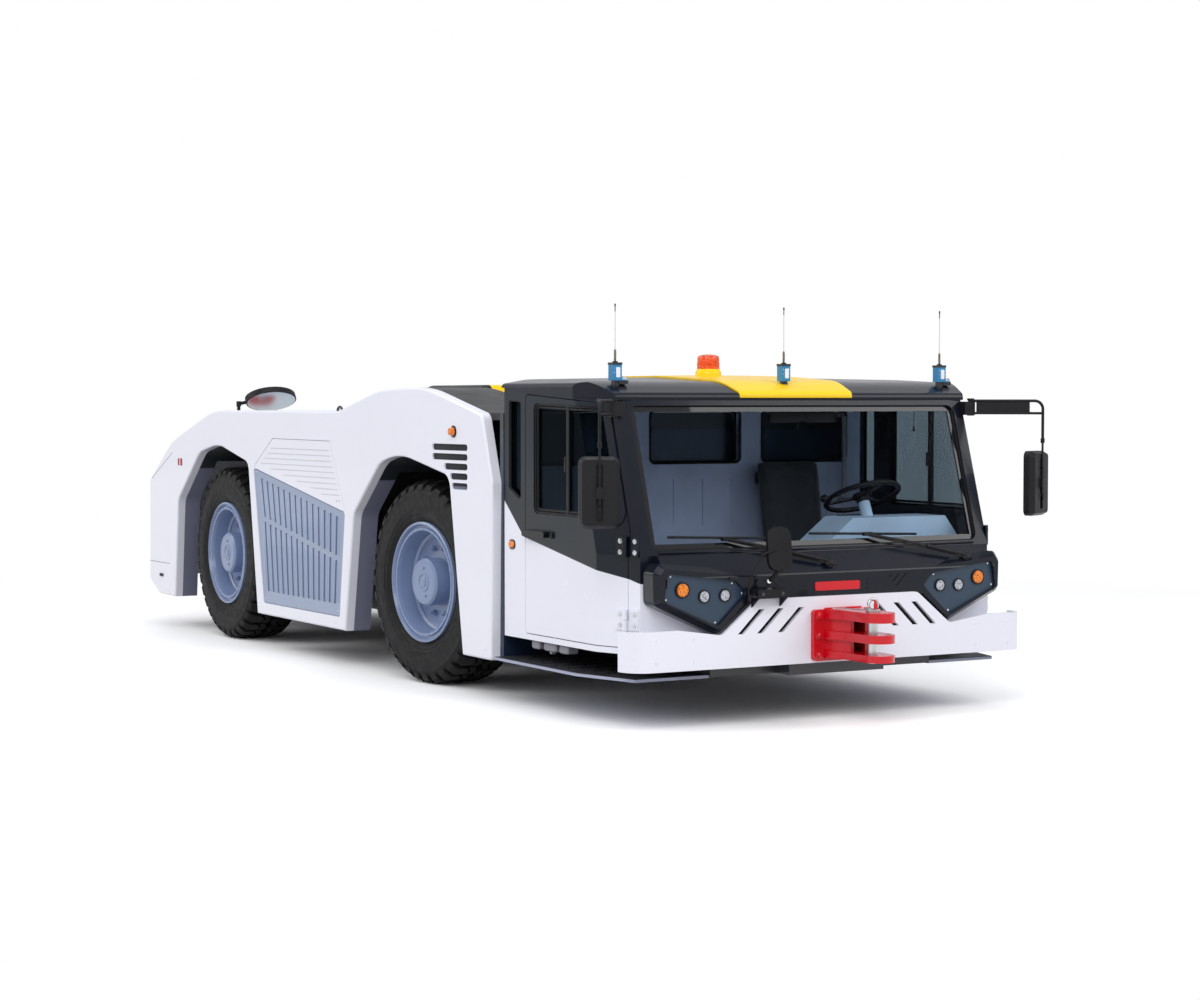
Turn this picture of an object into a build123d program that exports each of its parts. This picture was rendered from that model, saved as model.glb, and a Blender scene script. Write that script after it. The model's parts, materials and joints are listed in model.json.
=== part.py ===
from build123d import *
import os
from math import cos, radians, sin

# Towbar aircraft tractor in millimetres: +Z up, nose towards -Y, driver on the +X side.
# The origin is on the ground, at the middle of the overall length and width.
# A station is a length measured rearward from the front corners of the bumper.

os.makedirs("parts", exist_ok=True)

# Overall
half_width = 1250
jaw_tip = 470  # front hitch ahead of station 0
rear_end = 7055
rear_tip = 225  # rear hitch behind the rear panel
middle = (rear_end + rear_tip - jaw_tip) / 2
seat_gap = 0.3  # between pieces that seat on each other along curved faces
panel_gap = 4
door_gap = 5

# Wheels and axles
tyre_radius = 600
tread_half = 165
wheel_middle = 1000  # from the centre line to the middle of the tread
front_axle_station = 2525
rear_axle_station = 5665
rest_steer = 5.4  # the front wheels stand turned this far to the left
bead_radius = 312
flange_radius = 354
hub_radius = 140
kingpin_inset = 60
kingpin_radius = 35
lug_count = 36
lug_height = 26
lug_inner = 12  # lugs of the two sides start this far from the middle of the tread
lug_shoulder = 146
lug_outer = 176
axle_tube = 105
knuckle_half = 128
ear = 40

# Body
skin = 60
skirt = 235
deck_height = 1597
deck_wall = 40
crown_inner = 800
crown_wall = 15
crown_end = 3610
liner_inner = 1078
liner_wall = 12
deck_split = 1045  # the deck ends and the rear panel starts at this height
crown_rise = 148  # the fenders stand this much over the deck
bulkhead_station = 1445
bulkhead_wall = 40

# Frame
frame_bottom = 300
frame_top = 900
front_half = 460  # leaves room for the steered wheels
rear_half = 740
slab_half = 700
slab_bottom = 250
tunnel_half = 250
tunnel_roof = 845
fork = 3300  # station where the frame widens
nose_plate_half = 300
nose_plate_top = 575

# Cab
cab_half = 1200
cab_corner = (1107, 121)  # x and station of the front corner posts
cab_bow = 60  # station of the middle of the front wall
cab_kink = 403
cab_rear = 1414
cab_bottom = 380
cab_wall = 50
floor_wall = 30
rear_wall = 50
screen_foot = 880
rake = 0.307  # rearward lean of the windscreen for each unit of height
roof_front = (362, 1668)
roof_back = (1430, 1735)
pane = 8

# Bumper and hitch
bumper_front = -45
bumper_bottom = 309
bumper_top = 511
bumper_wall = 20
bumper_corner = 120
bumper_return = 100
nose_front = -25
pin_station = -338
pin_radius = 25.5
pin_clearance = 1
jaw_round = 132


def side(x):
    """Sketch plane with station across and height up, at x."""
    return Plane((x, -middle, 0), x_dir=(0, 1, 0), z_dir=(1, 0, 0))


def level(z):
    """Sketch plane with x across and station up, at height z."""
    return Plane((0, -middle, z))


def face(station):
    """Sketch plane with x across and height up, facing forward."""
    return Plane((0, station - middle, 0), x_dir=(1, 0, 0), z_dir=(0, -1, 0))


def shape(corners, grow=0.0):
    """Closed outline from rows of (across, up, corner radius), grown by an offset."""
    with BuildSketch(mode=Mode.PRIVATE) as flat:
        with BuildLine():
            points = [(across, up) for across, up, radius in corners]
            radii = [radius for across, up, radius in corners]
            FilletPolyline(*points, radius=radii, close=True)
        make_face()
        if grow:
            offset(amount=grow, kind=Kind.INTERSECTION)
    return flat.sketch


def save(part, name):
    part.label = name
    export_step(part, f"parts/{name}.step")


# Side view outlines: station, height, corner radius
body_outline = [
    (1488, skirt, 20),
    (1470, 1215, 60),
    (1594, deck_height - 7, 60),
    (2330, deck_height + crown_rise, 1500),
    (2950, deck_height + crown_rise - 17, 1200),
    (3570, deck_height, 300),
    (5720, deck_height, 1400),
    (6560, 1370, 900),
    (7040, deck_split + 33, 60),
    (rear_end, 330, 60),
    (6850, skirt, 120),
]
front_arch = [
    (1835, skirt - 100, 0),
    (1835, skirt, 0),
    (2005, 1236, 95),
    (2700, 1356, 900),
    (2950, 1288, 260),
    (3332, 968, 110),
    (3460, skirt, 0),
    (3460, skirt - 100, 0),
]
rear_arch = [
    (4910, skirt - 100, 0),
    (4910, skirt, 0),
    (5068, 1245, 80),
    (5640, 1362, 700),
    (6000, 1300, 240),
    (6444, 946, 100),
    (6517, skirt, 0),
    (6517, skirt - 100, 0),
]
grille_outline = [(4960, 1207, 14), (3457, 966, 14), (3541, 321, 14), (4789, 319, 14)]
vent_outline = [(4626, 1412, 14), (3677, 1409, 14), (3453, 973, 14), (4966, 1216, 14)]
# Louvre slots: rear end station, height
louvres = [(2215, 1401), (2215, 1346.5), (2060, 1292), (1985, 1237.5), (1964, 1183)]
louvre_front = 1765
louvre_height = 37
# The grille and vent panels rest on a lip of the side
panel_wall = 12
panel_lip = 22
grille_inset = 6
vent_inset = 1

# Body sides
for name, hand in (("right", -1), ("left", 1)):
    with BuildPart() as body_side:
        with BuildSketch(side(hand * half_width)):
            add(shape(body_outline))
            add(shape(front_arch), mode=Mode.SUBTRACT)
            add(shape(rear_arch), mode=Mode.SUBTRACT)
        extrude(amount=-hand * skin)
        outer = body_side.faces().sort_by(Axis.X)[-1 if hand > 0 else 0]
        fillet(outer.outer_wire().edges(), radius=14)
        for outline, depth in ((grille_outline, grille_inset), (vent_outline, vent_inset)):
            with BuildSketch(side(hand * half_width)):
                add(shape(outline, panel_gap))
            extrude(amount=-hand * (depth + panel_wall + seat_gap), mode=Mode.SUBTRACT)
        with BuildSketch(side(hand * half_width)):
            add(shape(grille_outline, -panel_lip))
            add(shape(vent_outline, -panel_lip))
            for rear, height in louvres:
                with Locations(((rear + louvre_front) / 2, height)):
                    SlotOverall(rear - louvre_front, louvre_height)
        extrude(amount=-hand * skin, mode=Mode.SUBTRACT)
    save(body_side.part, f"body_side_{name}")

# Side grilles: rows of upright slots above and below a band parallel to the slanted top
slot_columns = 14
slot_width = 28
# Corner lines of the slotted field: (station, height) at the front and at the rear
field_top = ((3540, 935), (4878, 1152))
field_band = ((3556, 676), (4815, 880))
field_foot = ((3580, 395), (4755, 398))
band = 34


def between(line, share):
    (s0, z0), (s1, z1) = line
    return (s0 + (s1 - s0) * share, z0 + (z1 - z0) * share)


with BuildPart() as side_grilles:
    with BuildSketch(side(half_width - grille_inset)):
        add(shape(grille_outline))
    extrude(amount=-panel_wall)
    with BuildSketch(side(half_width - grille_inset)):
        for column in range(slot_columns):
            share = (column + 0.5) / slot_columns
            top = between(field_top, share)
            mid = between(field_band, share)
            foot = between(field_foot, share)
            for upper, lower in ((top, (mid[0], mid[1] + band / 2)), ((mid[0], mid[1] - band / 2), foot)):
                with BuildLine():
                    Polyline(
                        (upper[0] - slot_width / 2, upper[1]),
                        (upper[0] + slot_width / 2, upper[1]),
                        (lower[0] + slot_width / 2, lower[1]),
                        (lower[0] - slot_width / 2, lower[1]),
                        close=True,
                    )
                make_face()
    extrude(amount=-panel_wall, mode=Mode.SUBTRACT)
    mirror(about=Plane.YZ)
save(side_grilles.part, "side_grilles")

with BuildPart() as vent_panels:
    with BuildSketch(side(half_width - vent_inset)):
        add(shape(vent_outline))
        add(shape(grille_outline, panel_gap), mode=Mode.SUBTRACT)
    extrude(amount=-panel_wall)
    mirror(about=Plane.YZ)
save(vent_panels.part, "vent_panels")

# Deck, fender crowns and rear slope, all from the outline of the sides
deck_half = half_width - skin
deck_start = bulkhead_station + bulkhead_wall
deck_shell = shape(body_outline) - shape(body_outline, -deck_wall)


def window(low_across, high_across, low_up, high_up):
    """Rectangle between two limits each way, for cutting an outline down."""
    with BuildSketch(mode=Mode.PRIVATE) as flat:
        with Locations(((low_across + high_across) / 2, (low_up + high_up) / 2)):
            Rectangle(high_across - low_across, high_up - low_up)
    return flat.sketch


high = deck_height + 400
with BuildPart() as deck:
    with BuildSketch(side(-deck_half)):
        add(deck_shell)
        add(window(crown_end, rear_end + 50, deck_split, high), mode=Mode.INTERSECT)
    extrude(amount=2 * deck_half)
    with BuildSketch(side(-deck_half)):
        add(window(deck_start, crown_end, deck_height - deck_wall, deck_height))
    extrude(amount=2 * deck_half)
    with BuildSketch(side(crown_inner)):
        add(deck_shell)
        add(window(deck_start, crown_end, deck_height - deck_wall, high), mode=Mode.INTERSECT)
    crown = extrude(amount=deck_half - crown_inner)
    mirror(crown, about=Plane.YZ)
    with BuildSketch(side(crown_inner)):
        add(shape(body_outline))
        add(window(deck_start, crown_end, deck_height - deck_wall, high), mode=Mode.INTERSECT)
    wall = extrude(amount=crown_wall)
    mirror(wall, about=Plane.YZ)
save(deck.part, "deck")

# Rear panel: the same wall below the split, with an air grille over the hitch
rear_slots = 6
panel_foot = 360
tail_lamp_x = 1020
tail_lamp_height = deck_split - 185
tail_lamp_pitch = 110
tail_lamp_size = (130, 90)
tail_lamp_set = 20
with BuildPart() as rear_panel:
    with BuildSketch(side(-deck_half)):
        add(deck_shell)
        add(window(rear_end - 120, rear_end + 50, panel_foot, deck_split), mode=Mode.INTERSECT)
    extrude(amount=2 * deck_half)
    with BuildSketch(face(rear_end + 100)):
        with Locations((0, tail_lamp_height)):
            with GridLocations(0, 42, 1, rear_slots):
                SlotOverall(900, 18)
    extrude(amount=300, mode=Mode.SUBTRACT)
    with BuildSketch(face(rear_end + 100)):
        with Locations((-tail_lamp_x, tail_lamp_height), (tail_lamp_x, tail_lamp_height)):
            with GridLocations(0, tail_lamp_pitch, 1, 3):
                RectangleRounded(tail_lamp_size[0] + 2 * seat_gap, tail_lamp_size[1] + 2 * seat_gap, 20)
    extrude(amount=100 + tail_lamp_set + seat_gap, mode=Mode.SUBTRACT)
save(rear_panel.part, "rear_panel")

with BuildPart() as tail_lamps:
    with BuildSketch(face(rear_end + 14)):
        with Locations((-tail_lamp_x, tail_lamp_height), (tail_lamp_x, tail_lamp_height)):
            with GridLocations(0, tail_lamp_pitch, 1, 3):
                RectangleRounded(*tail_lamp_size, 20)
    extrude(amount=14 + tail_lamp_set)
save(tail_lamps.part, "tail_lamps")

# Arch liners: a band round each arch, reaching further in over the tyre than beside it
with BuildPart() as arch_liners:
    for arch in (front_arch, rear_arch):
        with BuildSketch(side(crown_inner)):
            add(shape(arch, liner_wall))
            add(shape(arch), mode=Mode.SUBTRACT)
            add(window(1000, rear_end, skirt, high), mode=Mode.INTERSECT)
        extrude(amount=deck_half - crown_inner)
    with BuildSketch(side(crown_inner)):
        add(window(1000, rear_end, 0, 2 * tyre_radius + 30))
    extrude(amount=liner_inner - crown_inner, mode=Mode.SUBTRACT)
    mirror(about=Plane.YZ)
save(arch_liners.part, "arch_liners")

# Bulkhead behind the cab, cut out over the frame
with BuildPart() as bulkhead:
    with BuildSketch(face(deck_start)):
        add(window(-deck_half, deck_half, slab_bottom, deck_height))
        add(window(-slab_half, slab_half, slab_bottom, cab_bottom), mode=Mode.SUBTRACT)
    extrude(amount=bulkhead_wall)
save(bulkhead.part, "bulkhead")

# Hood box on the deck
hood_half = 520
hood_front = 3020
hood_rear = 3870
hood_top = deck_height + 165
hood_shoulder = 60
with BuildPart() as hood_box:
    with BuildSketch(level(deck_height)):
        add(window(-hood_half, hood_half, hood_front, hood_rear))
    extrude(amount=hood_top - deck_height)
    fillet(hood_box.edges().filter_by(Axis.Z), radius=45)
    fillet(hood_box.faces().sort_by(Axis.Z)[-1].edges().filter_by(Axis.Y), radius=hood_shoulder)
save(hood_box.part, "hood_box")

# Chassis frame: a low slab under the cab, then beams that widen behind the front wheels
frame_rear = rear_end - deck_wall - 20
with BuildPart() as chassis_frame:
    with BuildSketch(level(slab_bottom)):
        add(window(-slab_half, slab_half, bumper_return + 5, deck_start))
    extrude(amount=cab_bottom - slab_bottom)
    with BuildSketch(level(frame_bottom)):
        add(window(-front_half, front_half, deck_start, frame_rear))
        add(window(-rear_half, rear_half, fork, frame_rear))
    extrude(amount=frame_top - frame_bottom)
    with BuildSketch(side(-rear_half)):
        for axle in (front_axle_station, rear_axle_station):
            add(window(axle - tunnel_half, axle + tunnel_half, frame_bottom - 50, tunnel_roof))
    extrude(amount=2 * rear_half, mode=Mode.SUBTRACT)
    with BuildSketch(level(slab_bottom)):
        add(window(-nose_plate_half, nose_plate_half, bumper_front + bumper_wall, bumper_return + 5))
    extrude(amount=cab_bottom - slab_bottom)
    with BuildSketch(level(slab_bottom)):
        add(window(-nose_plate_half, nose_plate_half, bumper_front + bumper_wall, 30))
    extrude(amount=nose_plate_top - slab_bottom)
save(chassis_frame.part, "chassis_frame")

# Battery and motor mass: one plain block on the frame between the axles
with BuildPart() as power_block:
    with BuildSketch(level(frame_top)):
        add(window(-rear_half, rear_half, fork + 30, 5000))
    extrude(amount=deck_height - deck_wall - frame_top)
save(power_block.part, "power_block")

# Axles: a swelling housing, tubes, spring seats and a yoke at each end
yoke_web = 40
kingpin = wheel_middle - kingpin_inset
web_outer = kingpin - 80


def axle_housing(station, reach):
    """Housing and tubes out to the reach, with two seats under the tunnel roof."""
    with BuildPart(mode=Mode.PRIVATE) as housing:
        with BuildSketch(Plane((0, station - middle, tyre_radius))):
            with BuildLine():
                FilletPolyline(
                    (-reach, 0),
                    (-reach, axle_tube),
                    (-340, axle_tube + 12),
                    (-150, 228),
                    (150, 228),
                    (340, axle_tube + 12),
                    (reach, axle_tube),
                    (reach, 0),
                    radius=[0, 30, 60, 60, 30, 0],
                )
                Line((reach, 0), (-reach, 0))
            make_face()
        revolve(axis=Axis((0, station - middle, tyre_radius), (1, 0, 0)))
        for hand in (-1, 1):
            with BuildSketch(Plane((hand * 395, station - middle, tyre_radius))):
                Rectangle(90, 150)
            extrude(amount=tunnel_roof - tyre_radius)
    return housing.part


with BuildPart() as front_axle:
    add(axle_housing(front_axle_station, web_outer))
    for hand in (-1, 1):
        with BuildSketch(Plane((hand * (web_outer - yoke_web / 2), front_axle_station - middle, tyre_radius))):
            Rectangle(yoke_web, 140)
        extrude(amount=knuckle_half + ear, both=True)
        for low in (-knuckle_half - ear, knuckle_half + 3):
            with BuildSketch(Plane((0, front_axle_station - middle, tyre_radius + low))):
                with Locations((hand * (kingpin + web_outer - yoke_web) / 2, 0)):
                    Rectangle(kingpin - web_outer + yoke_web, 150)
                with Locations((hand * kingpin, 0)):
                    Circle(75)
                    Circle(kingpin_radius + 0.05, mode=Mode.SUBTRACT)
            extrude(amount=ear - 3)
save(front_axle.part, "front_axle")

rear_hub_face = wheel_middle + 29.7
with BuildPart() as rear_axle:
    add(axle_housing(rear_axle_station, 880))
    for hand in (-1, 1):
        with BuildSketch(Plane((hand * 860, rear_axle_station - middle, tyre_radius), z_dir=(hand, 0, 0))):
            Circle(200)
        extrude(amount=60)
        with BuildSketch(Plane((hand * 860, rear_axle_station - middle, tyre_radius), z_dir=(hand, 0, 0))):
            Circle(120)
        extrude(amount=rear_hub_face - 860)
save(rear_axle.part, "rear_axle")

# Wheels and knuckles are drawn about their own middle, axle outward along +X
rim_profile = [
    (-170, 350, 0),
    (-157, 350, 0),
    (-152, bead_radius, 0),
    (157, bead_radius, 0),
    (162, flange_radius, 0),
    (178, flange_radius, 0),
    (182, 340, 0),
    (160, 330, 0),
    (160, 321, 0),
    (172, 317, 0),
    (172, 304, 0),
    (150, 298, 0),
    (70, 287, 0),
    (52, 262, 0),
    (46, hub_radius, 0),
    (158, hub_radius, 0),
    (170, hub_radius - 12, 0),
    (170, 0, 0),
    (30, 0, 0),
    (30, 262, 0),
    (10, 294, 0),
    (-170, 296, 0),
]
tyre_profile = [
    (-152, bead_radius + seat_gap, 0),
    (-156, 352, 0),
    (-184, 400, 0),
    (-190, 450, 0),
    (-184, 520, 0),
    (-tread_half, tyre_radius - lug_height, 0),
    (tread_half, tyre_radius - lug_height, 0),
    (184, 520, 0),
    (190, 450, 0),
    (184, 400, 0),
    (156, 352, 0),
    (152, bead_radius + seat_gap, 0),
]
nut_circle = 200
nut_count = 10

with BuildPart() as rim:
    with BuildSketch(Plane.XY):
        add(shape(rim_profile))
    revolve(axis=Axis.X)
    with BuildSketch(Plane.YZ.offset(30)):
        with PolarLocations(nut_circle, nut_count):
            RegularPolygon(17, 6)
    extrude(amount=44)


def lug_ring(radius, turn):
    """Toothed outline round the wheel: one land for each lug, gaps a quarter of the pitch."""
    pitch = 360 / lug_count
    root = tyre_radius - lug_height - 6
    points = []
    for number in range(lug_count):
        for share, reach in ((-0.46, root), (-0.38, radius), (0.38, radius), (0.46, root)):
            angle = radians((number + share) * pitch + turn)
            points.append((reach * sin(angle), reach * cos(angle)))
    with BuildSketch(mode=Mode.PRIVATE) as ring:
        with BuildLine():
            Polyline(*points, close=True)
        make_face()
        Circle(bead_radius + 150, mode=Mode.SUBTRACT)
    return ring.sketch


# Two rings of tread lugs half a pitch apart, their shoulders sloped down to the sidewall
lug_slope = 30
with BuildPart() as tyre:
    with BuildSketch(Plane.XY):
        add(shape(tyre_profile))
    revolve(axis=Axis.X)
    for hand, turn in ((-1, 0), (1, 180 / lug_count)):
        with BuildSketch(Plane.YZ.offset(hand * lug_inner)):
            add(lug_ring(tyre_radius, turn))
        extrude(amount=hand * (lug_shoulder - lug_inner))
        for place, radius in ((lug_shoulder, tyre_radius), (lug_outer, tyre_radius - lug_slope)):
            with BuildSketch(Plane.YZ.offset(hand * place)):
                add(lug_ring(radius, turn))
        loft(ruled=True)

with BuildPart() as knuckle:
    with Locations((-kingpin_inset, 0, 0)):
        Cylinder(70, 2 * knuckle_half)
        Cylinder(kingpin_radius, 2 * (knuckle_half + ear))
    with BuildSketch(Plane((-kingpin_inset, 0, 0), z_dir=(1, 0, 0))):
        Circle(118)
    extrude(amount=kingpin_inset + 30 - seat_gap)

for name, hand, station, steer in (
    ("front_right", -1, front_axle_station, rest_steer),
    ("front_left", 1, front_axle_station, rest_steer),
    ("rear_right", -1, rear_axle_station, 0),
    ("rear_left", 1, rear_axle_station, 0),
):
    facing = 0 if hand > 0 else 180
    kingpin_place = Pos(hand * kingpin, station - middle, tyre_radius) * Rot(0, 0, facing + steer)
    place = kingpin_place * Pos(kingpin_inset, 0, 0)
    save(place * rim.part, f"rim_{name}")
    save(place * tyre.part, f"tyre_{name}")
    if steer:
        save(place * knuckle.part, f"knuckle_{name[6:]}")

# Cab shell: straight walls up to the foot of the windscreen, then leaning back with it


def cab_plan(inset, back):
    """Plan of the cab's walls: bowed front, slanted corners, straight sides."""
    with BuildSketch(mode=Mode.PRIVATE) as plan:
        with BuildLine():
            corner_x, corner_station = cab_corner
            ThreePointArc((-corner_x, corner_station), (0, cab_bow), (corner_x, corner_station))
            Polyline(
                (corner_x, corner_station),
                (cab_half, cab_kink),
                (cab_half, cab_rear + 600),
                (-cab_half, cab_rear + 600),
                (-cab_half, cab_kink),
                (-corner_x, corner_station),
            )
        make_face()
        if inset:
            offset(amount=-inset, kind=Kind.INTERSECTION)
        add(window(-cab_half, cab_half, -100, back), mode=Mode.INTERSECT)
    return plan.sketch


def roof_height(station):
    (s0, z0), (s1, z1) = roof_front, roof_back
    return z0 + (z1 - z0) * (station - s0) / (s1 - s0)


def cab_body(inset, low, back=cab_rear):
    """Solid of the cab inside its walls' faces, from a height up to the roof's lower edge."""
    with BuildPart(mode=Mode.PRIVATE) as body:
        if low < screen_foot:
            with BuildSketch(level(low)):
                add(cab_plan(inset, back))
            extrude(amount=screen_foot - low)
        rise = 1000
        with BuildSketch(level(screen_foot)):
            add(cab_plan(inset, back))
        extrude(amount=rise * Vector(0, rake, 1).length, dir=Vector(0, rake, 1))
        with BuildSketch(side(-cab_half)):
            with BuildLine():
                Polyline(
                    (-100, low),
                    (back, low),
                    (back, roof_height(back)),
                    (-100, roof_height(-100)),
                    close=True,
                )
            make_face()
        extrude(amount=2 * cab_half, mode=Mode.INTERSECT)
    return body.part


cab_outside = cab_body(0, cab_bottom)
cab_inside = cab_body(cab_wall, cab_bottom, cab_rear + 100)
cab_shell = cab_outside - cab_inside

# Door outline in the side view: station, height, corner radius
door_front = 200
door_back = 1168
door_foot = 415
door_outline = [
    (door_front, door_foot, 20),
    (door_front, 1000, 60),
    (door_front + 200, 1000 + 200 / rake, 30),
    (door_back, 1696, 30),
    (door_back, door_foot, 20),
]
door_window = [(262, 1058, 40), (440, 1634, 40), (1078, 1652, 40), (1078, 1062, 40)]
quarter_window = [(1225, 1120, 20), (1225, 1662, 20), (1362, 1668, 20), (1362, 1190, 20)]
screen_corners = [(-1035, 905, 50), (-1040, 1640, 50), (1040, 1640, 50), (1035, 905, 50)]

# Door hinges: the frame's half below with the pin, the door's half above
# Local plan: along the slanted wall from its front corner, and out from it
hinge_x = 1155
hinge_station = 195
hinge_rows = [505, 875]  # height of each hinge's foot
hinge_height = 104
hinge_pin = 6
barrel = 14
leaf = 8
wall_run = Vector(cab_half - cab_corner[0], cab_kink - cab_corner[1]).normalized()
wall_out = Vector(wall_run.Y, -wall_run.X)
hinge_offset = Vector(hinge_x, hinge_station) - Vector(*cab_corner)
hinge_along = hinge_offset.dot(wall_run)
hinge_out = hinge_offset.dot(wall_out)
half_barrel = hinge_height / 2 - 1


def wall_level(z):
    """Sketch plane with the slanted wall's length across and its outside up."""
    corner_x, corner_station = cab_corner
    run = (wall_run.X, wall_run.Y, 0)
    return Plane((corner_x, corner_station - middle, z), x_dir=run, z_dir=(0, 0, -1))


def hinge_half(ends, low, bore):
    """One half of both hinges: a leaf on the wall, a web and the barrel bored for the pin."""
    near, far = ends
    with BuildPart(mode=Mode.PRIVATE) as half:
        for foot in hinge_rows:
            with BuildSketch(wall_level(foot + hinge_height)):
                add(window(near, far, -5, leaf))
            extrude(amount=hinge_height)
            with BuildSketch(wall_level(foot + low + half_barrel)):
                add(window(min(near, hinge_along), max(far, hinge_along), seat_gap, leaf))
                with Locations((hinge_along, hinge_out)):
                    Circle(barrel)
                add(window(hinge_along - 6, hinge_along + 6, seat_gap, hinge_out))
                if bore:
                    with Locations((hinge_along, hinge_out)):
                        Circle(hinge_pin + 0.05, mode=Mode.SUBTRACT)
            extrude(amount=half_barrel)
            if not bore:
                with BuildSketch(wall_level(foot + hinge_height - 4)):
                    with Locations((hinge_along, hinge_out)):
                        Circle(hinge_pin)
                extrude(amount=hinge_height / 2)
    return half.part


frame_hinges = hinge_half((8, hinge_along - barrel - 3), 0, False)
door_hinges = hinge_half((hinge_along + barrel + 3, 158), hinge_height - half_barrel, True)

with BuildPart() as cab_frame:
    add(cab_shell)
    add(frame_hinges)
    add(mirror(frame_hinges, about=Plane.YZ, mode=Mode.PRIVATE))
    for hand in (-1, 1):
        with BuildSketch(side(hand * (cab_half - 200))):
            add(shape(door_outline, door_gap))
            add(shape(quarter_window))
        extrude(amount=hand * 300, mode=Mode.SUBTRACT)
    with BuildSketch(face(-100)):
        add(shape(screen_corners))
    extrude(amount=-800, mode=Mode.SUBTRACT)
save(cab_frame.part, "cab_frame")

# Doors: a frame stands proud round the window, and a handle under its rear end
frame_proud = 6
frame_width = 42
handle_place = (1031, 955)
handle_size = (248, 34)
handle_proud = 34
with BuildPart() as frame_band:
    with BuildSketch(side(cab_half - 200)):
        add(shape(door_window, frame_width))
        add(shape(door_outline, -2), mode=Mode.INTERSECT)
        add(shape(door_window), mode=Mode.SUBTRACT)
    extrude(amount=300)
    add(cab_body(-frame_proud, cab_bottom), mode=Mode.INTERSECT)
    add(cab_body(cab_wall / 2, cab_bottom), mode=Mode.SUBTRACT)
window_frame = frame_band.part
for name, hand in (("right", -1), ("left", 1)):
    with BuildPart() as door:
        with BuildSketch(side(hand * (cab_half - 200))):
            add(shape(door_outline))
            add(shape(door_window), mode=Mode.SUBTRACT)
        extrude(amount=hand * 300)
        add(cab_shell, mode=Mode.INTERSECT)
        add(door_hinges if hand > 0 else mirror(door_hinges, about=Plane.YZ, mode=Mode.PRIVATE))
        add(window_frame if hand > 0 else mirror(window_frame, about=Plane.YZ, mode=Mode.PRIVATE))
        with BuildSketch(side(hand * cab_half)):
            with Locations(handle_place):
                RectangleRounded(*handle_size, 12)
        extrude(amount=hand * handle_proud)
    save(door.part, f"door_{name}")

pane_outer = cab_body(18, cab_bottom + 100, cab_rear + 50)
pane_inner = cab_body(18 + pane, cab_bottom + 100, cab_rear + 60)
pane_shell = pane_outer - pane_inner
for name, hand in (("right", -1), ("left", 1)):
    with BuildPart() as door_pane:
        with BuildSketch(side(hand * (cab_half - 200))):
            add(shape(door_window, -seat_gap))
        extrude(amount=hand * 300)
        add(pane_shell, mode=Mode.INTERSECT)
    save(door_pane.part, f"door_pane_{name}")

with BuildPart() as windscreen:
    with BuildSketch(face(-100)):
        add(shape(screen_corners, -seat_gap))
    extrude(amount=-800)
    add(pane_shell, mode=Mode.INTERSECT)
save(windscreen.part, "windscreen")

# Rear wall with three windows and pressed ribs, fitted inside the cab shell
rear_windows = [(-750, 600), (0, 606), (750, 600)]  # middle, width
rear_window_low = 1310
rear_window_high = 1610
rib_rows = [(-760, 4), (-60, 4), (700, 3)]
wall_face = cab_rear - rear_wall
with BuildPart() as cab_rear_wall:
    with BuildSketch(face(cab_rear)):
        add(window(-cab_half, cab_half, cab_bottom + floor_wall, high))
    extrude(amount=rear_wall)
    add(cab_inside, mode=Mode.INTERSECT)
    with BuildSketch(face(cab_rear)):
        for middle_x, width in rear_windows:
            with Locations((middle_x, (rear_window_low + rear_window_high) / 2)):
                RectangleRounded(width, rear_window_high - rear_window_low, 30)
    extrude(amount=rear_wall, mode=Mode.SUBTRACT)
    with BuildSketch(face(wall_face)):
        for middle_x, count in rib_rows:
            with Locations((middle_x, 1085)):
                with GridLocations(195, 300, count, 1):
                    SlotOverall(270, 26, rotation=90)
    extrude(amount=-6, mode=Mode.SUBTRACT)
save(cab_rear_wall.part, "cab_rear_wall")

with BuildPart() as fixed_panes:
    with BuildSketch(face(cab_rear - 20)):
        for middle_x, width in rear_windows:
            with Locations((middle_x, (rear_window_low + rear_window_high) / 2)):
                RectangleRounded(width, rear_window_high - rear_window_low, 30)
    extrude(amount=pane)
    for hand in (-1, 1):
        with BuildSketch(side(hand * (cab_half - 18))):
            add(shape(quarter_window))
        extrude(amount=-hand * pane)
save(fixed_panes.part, "fixed_panes")

# Floor with the plinth that carries the driver's seat
seat_x = 540
seat_station = 930
plinth = 270
with BuildPart() as cab_floor:
    with BuildSketch(level(cab_bottom)):
        add(cab_plan(cab_wall, cab_rear))
    extrude(amount=floor_wall)
    with BuildSketch(level(cab_bottom + floor_wall)):
        with Locations((seat_x, seat_station)):
            RectangleRounded(420, 400, 30)
    extrude(amount=plinth)
save(cab_floor.part, "cab_floor")

# Driver's seat: cushion, back and head pad; a second pad on the wall behind
seat_base = cab_bottom + floor_wall + plinth + seat_gap
pad_across = (370, 800)
pad_height = (1170, 1265)
pad_front = 1304
with BuildPart() as driver_seat:
    with BuildSketch(level(seat_base)):
        with Locations((seat_x, seat_station)):
            RectangleRounded(500, 480, 60)
    extrude(amount=130)
    with BuildSketch(side(seat_x - 235)):
        with BuildLine():
            FilletPolyline(
                (1090, seat_base + 60),
                (1190, seat_base + 60),
                (1290, 1338),
                (1220, 1338),
                radius=30,
                close=True,
            )
        make_face()
    extrude(amount=470)
    with BuildSketch(face(wall_face - seat_gap)):
        with Locations((sum(pad_across) / 2, sum(pad_height) / 2)):
            RectangleRounded(pad_across[1] - pad_across[0], pad_height[1] - pad_height[0], 30)
    extrude(amount=wall_face - seat_gap - pad_front)
save(driver_seat.part, "driver_seat")

# Roof: side view crown, end view crown and plan cut to the cab
roof_over = 10
roof_skirt = roof_front[1] - 68
roof_side = cab_half + roof_over


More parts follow.
